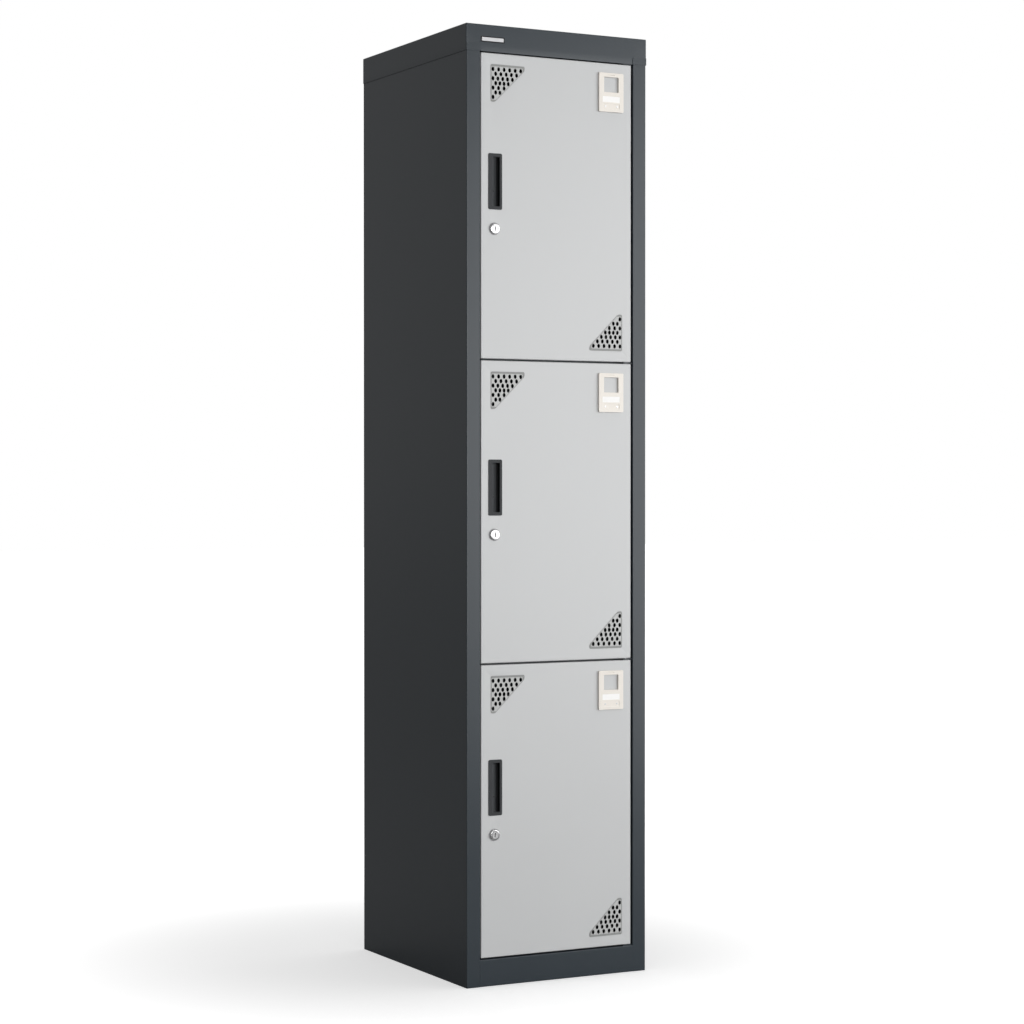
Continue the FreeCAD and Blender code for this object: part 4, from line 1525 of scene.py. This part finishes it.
    def card_holder(self) -> None:
        """A moulded plate with a square window, a card pocket and a rivet recess."""
        box, card = self.box("card_holder"), self.box("name_card")
        rivets = self.box("card_holder_rivets").centre
        y = box.low.y
        middle = box.centre.x
        bm = bmesh.new()
        outline = loop_of_points(bm, box.outline(y), self.holder_corner, 5)
        window_top = box.high.z - self.window_drop
        window = loop_of_points(
            bm, centred(
                middle, window_top - self.window_height / 2.0, self.window_width,
                self.window_height, y,
            ), self.window_corner, 3,
        )
        pocket = loop_of_points(bm, card.outline(y), self.card_corner, 2)
        recess = loop_of_points(
            bm, centred(middle, rivets.z, self.recess_width, self.recess_height, y),
            self.recess_corner, 4,
        )
        mark_z = (window_top + box.high.z) / 2.0 - self.mark_drop
        mark = loop_of_points(
            bm, centred(middle, mark_z, self.mark_length, self.mark_height, y),
            self.mark_corner, 3,
        )
        fill(bm, [*outline, *window, *pocket, *recess, *mark])
        fill(bm, draw_back(bm, mark, self.mark_depth))
        fill(bm, draw_back(bm, pocket, self.recess_depth))
        fill(bm, draw_back(bm, recess, self.recess_depth))
        thickness = box.size.y
        backs = [draw_back(bm, outline, thickness), draw_back(bm, window, thickness)]
        fill(bm, [edge for back in backs for edge in back])
        self._piece("card_holder", "moulding", bm, Slot.CREAM, edge=self.holder_edge)

    def name_card(self) -> None:
        """The blank card, with slightly rounded corners."""
        box = self.box("name_card")
        bm = bmesh.new()
        outline = loop_of_points(bm, box.outline(box.low.y), self.card_corner, 2)
        add_plate(bm, outline, (), box.size.y)
        self._piece("name_card", "blank", bm, Slot.CARD)


# ---------------------------------------------------------------- studio


@dataclass(frozen=True)
class Softbox:
    """A soft light.

    Attributes:
        name: its name.
        place: where it stands.
        target: what it points at.
        size: its width and height.
        power: its power in watts.
        shape: the outline of its face.
        lights_floor: whether it lights the floor too.
    """

    name: str
    place: tuple[float, float, float]
    target: tuple[float, float, float]
    size: tuple[float, float]
    power: float
    shape: str = "RECTANGLE"
    lights_floor: bool = False

    def build(self) -> Object:
        """Sets the light up, out of the camera's sight.

        Returns:
            The light.
        """
        light = bpy.data.lights.new(self.name, "AREA")
        light.shape = self.shape
        light.size, light.size_y = self.size
        light.energy = self.power
        lamp = bpy.data.objects.new(self.name, light)
        lamp.location = self.place
        way = Vector(self.target) - Vector(self.place)
        lamp.rotation_euler = way.to_track_quat("-Z", "Y").to_euler()
        lamp.visible_camera = False
        bpy.context.scene.collection.objects.link(lamp)
        return lamp


SOFTBOXES = (
    Softbox("front_softbox", (-0.1, -4.6, 1.25), (0.0, 0.0, 1.15), (1.8, 2.0), 128.0),
    Softbox("gloss_softbox", (3.05, -2.9, 1.17), (3.05, 0.0, 1.17), (4.4, 3.0), 101.0, "ELLIPSE"),
    Softbox("back_softbox", (2.6, 4.8, 1.7), (0.4, 0.0, 0.9), (2.4, 3.0), 40.0),
    Softbox("top_softbox", (0.9, -0.3, 4.4), (0.1, 0.0, 0.9), (2.4, 2.4), 22.0, lights_floor=True),
)


@dataclass(frozen=True)
class Studio:
    """A pale floor with a painted shadow round the base, soft light and the camera."""

    azimuth: float = -27.96
    elevation: float = 0.62
    distance: float = 5.0277
    aim: tuple[float, float, float] = (0.0181, -0.0085, 0.8868)
    lens: float = 89.36
    floor_half: float = 30.0
    # Painted shadow on the floor: its emission, seen only by the camera, rises from
    # floor_shadow_emission within floor_near of floor_shade to full white beyond floor_far.
    floor_shade: tuple[float, float, float] = (-0.09, 0.15, 0.0)
    floor_near: float = 0.3
    floor_far: float = 1.4
    floor_shadow_emission: float = 0.49
    fill_light: float = 0.38
    floor_roughness: float = 0.8
    floor_tone: float = 0.9
    floor_bounce: float = 0.6
    reach: float = 200.0

    def build(self) -> None:
        """Sets up the floor, the world, the lights and the camera."""
        floor = self.floor()
        self.world()
        lamps = [(box, box.build()) for box in SOFTBOXES]
        self.spare(floor, [lamp for box, lamp in lamps if not box.lights_floor])
        self.camera()
        bpy.context.scene.view_settings.view_transform = "Standard"

    def floor(self) -> Object:
        """A pale floor with a painted shadow round the base, which runs out into white.

        Returns:
            The floor.
        """
        bm = bmesh.new()
        bmesh.ops.create_grid(bm, x_segments=1, y_segments=1, size=self.floor_half)
        mesh = bpy.data.meshes.new("floor")
        bm.to_mesh(mesh)
        bm.free()
        material, graph = new_material("pale_floor_painted_shadow")
        # Camera-only emission, dimmer near the base: a painted shadow round it.
        far = graph.add("VectorMath", {"operation": "DISTANCE"})
        graph.feed(far.inputs[0], graph.add("TexCoord").outputs["Object"])
        graph.feed(far.inputs[1], self.floor_shade)
        shadow_emission = graph.add(
            "MapRange", {"interpolation_type": "SMOOTHSTEP"}, Value=far.outputs["Value"],
            From_Min=self.floor_near, From_Max=self.floor_far, To_Min=self.floor_shadow_emission, To_Max=1.0,
        )
        seen = graph.add("LightPath").outputs["Is Camera Ray"]
        shader = graph.add(
            "BsdfPrincipled", None, Roughness=self.floor_roughness, Specular_IOR_Level=0.0,
            Emission_Color=opaque(WHITE),
            Base_Color=graph.blend(
                seen, opaque(WHITE, self.floor_bounce), opaque(WHITE, self.floor_tone)
            ),
            Emission_Strength=graph.maths("MULTIPLY", seen, shadow_emission.outputs[0]),
        )
        graph.finish("OutputMaterial", shader)
        mesh.materials.append(material)
        floor = bpy.data.objects.new("floor", mesh)
        bpy.context.scene.collection.objects.link(floor)
        return floor

    def world(self) -> None:
        """A white surround that lights the piece softly."""
        world = bpy.data.worlds.new("studio")
        world.use_nodes = True
        graph = Graph(world.node_tree)
        seen = graph.add("LightPath").outputs["Is Camera Ray"]
        strength = graph.ranged(seen, self.fill_light, 1.0)
        back = graph.add("Background", None, Color=opaque(WHITE), Strength=strength)
        graph.finish("OutputWorld", back)
        bpy.context.scene.world = world

    @staticmethod
    def spare(floor: Object, lamps: Sequence[Object]) -> None:
        """Keeps some lamps off the floor, so that they throw no shadow on it.

        Args:
            floor: the floor.
            lamps: the lamps.
        """
        unlit = bpy.data.collections.new("unlit_floor")
        unlit.objects.link(floor)
        for lamp in lamps:
            lamp.light_linking.receiver_collection = unlit
        unlit.collection_objects[0].light_linking.link_state = "EXCLUDE"

    def camera(self) -> None:
        """The camera, at the left of the doors and about half-way up."""
        turn, tilt = math.radians(self.azimuth), math.radians(self.elevation)
        back = Vector((
            math.sin(turn) * math.cos(tilt), -math.cos(turn) * math.cos(tilt), math.sin(tilt)
        ))
        data = bpy.data.cameras.new("camera")
        data.lens = self.lens
        data.clip_end = self.reach
        camera = bpy.data.objects.new("camera", data)
        camera.location = Vector(self.aim) + back * self.distance
        camera.rotation_euler = (-back).to_track_quat("-Z", "Y").to_euler()
        bpy.context.scene.collection.objects.link(camera)
        bpy.context.scene.camera = camera


def main() -> None:
    """Builds the locker and its studio."""
    logging.basicConfig(level=logging.INFO, format="%(name)s: %(message)s")
    Studio().build()
    shop = Workshop(Paintshop())
    Cabinet(shop).build()
    for tier in Tier:
        DoorSet(shop, tier).build()


if __name__ == "__main__":
    main()
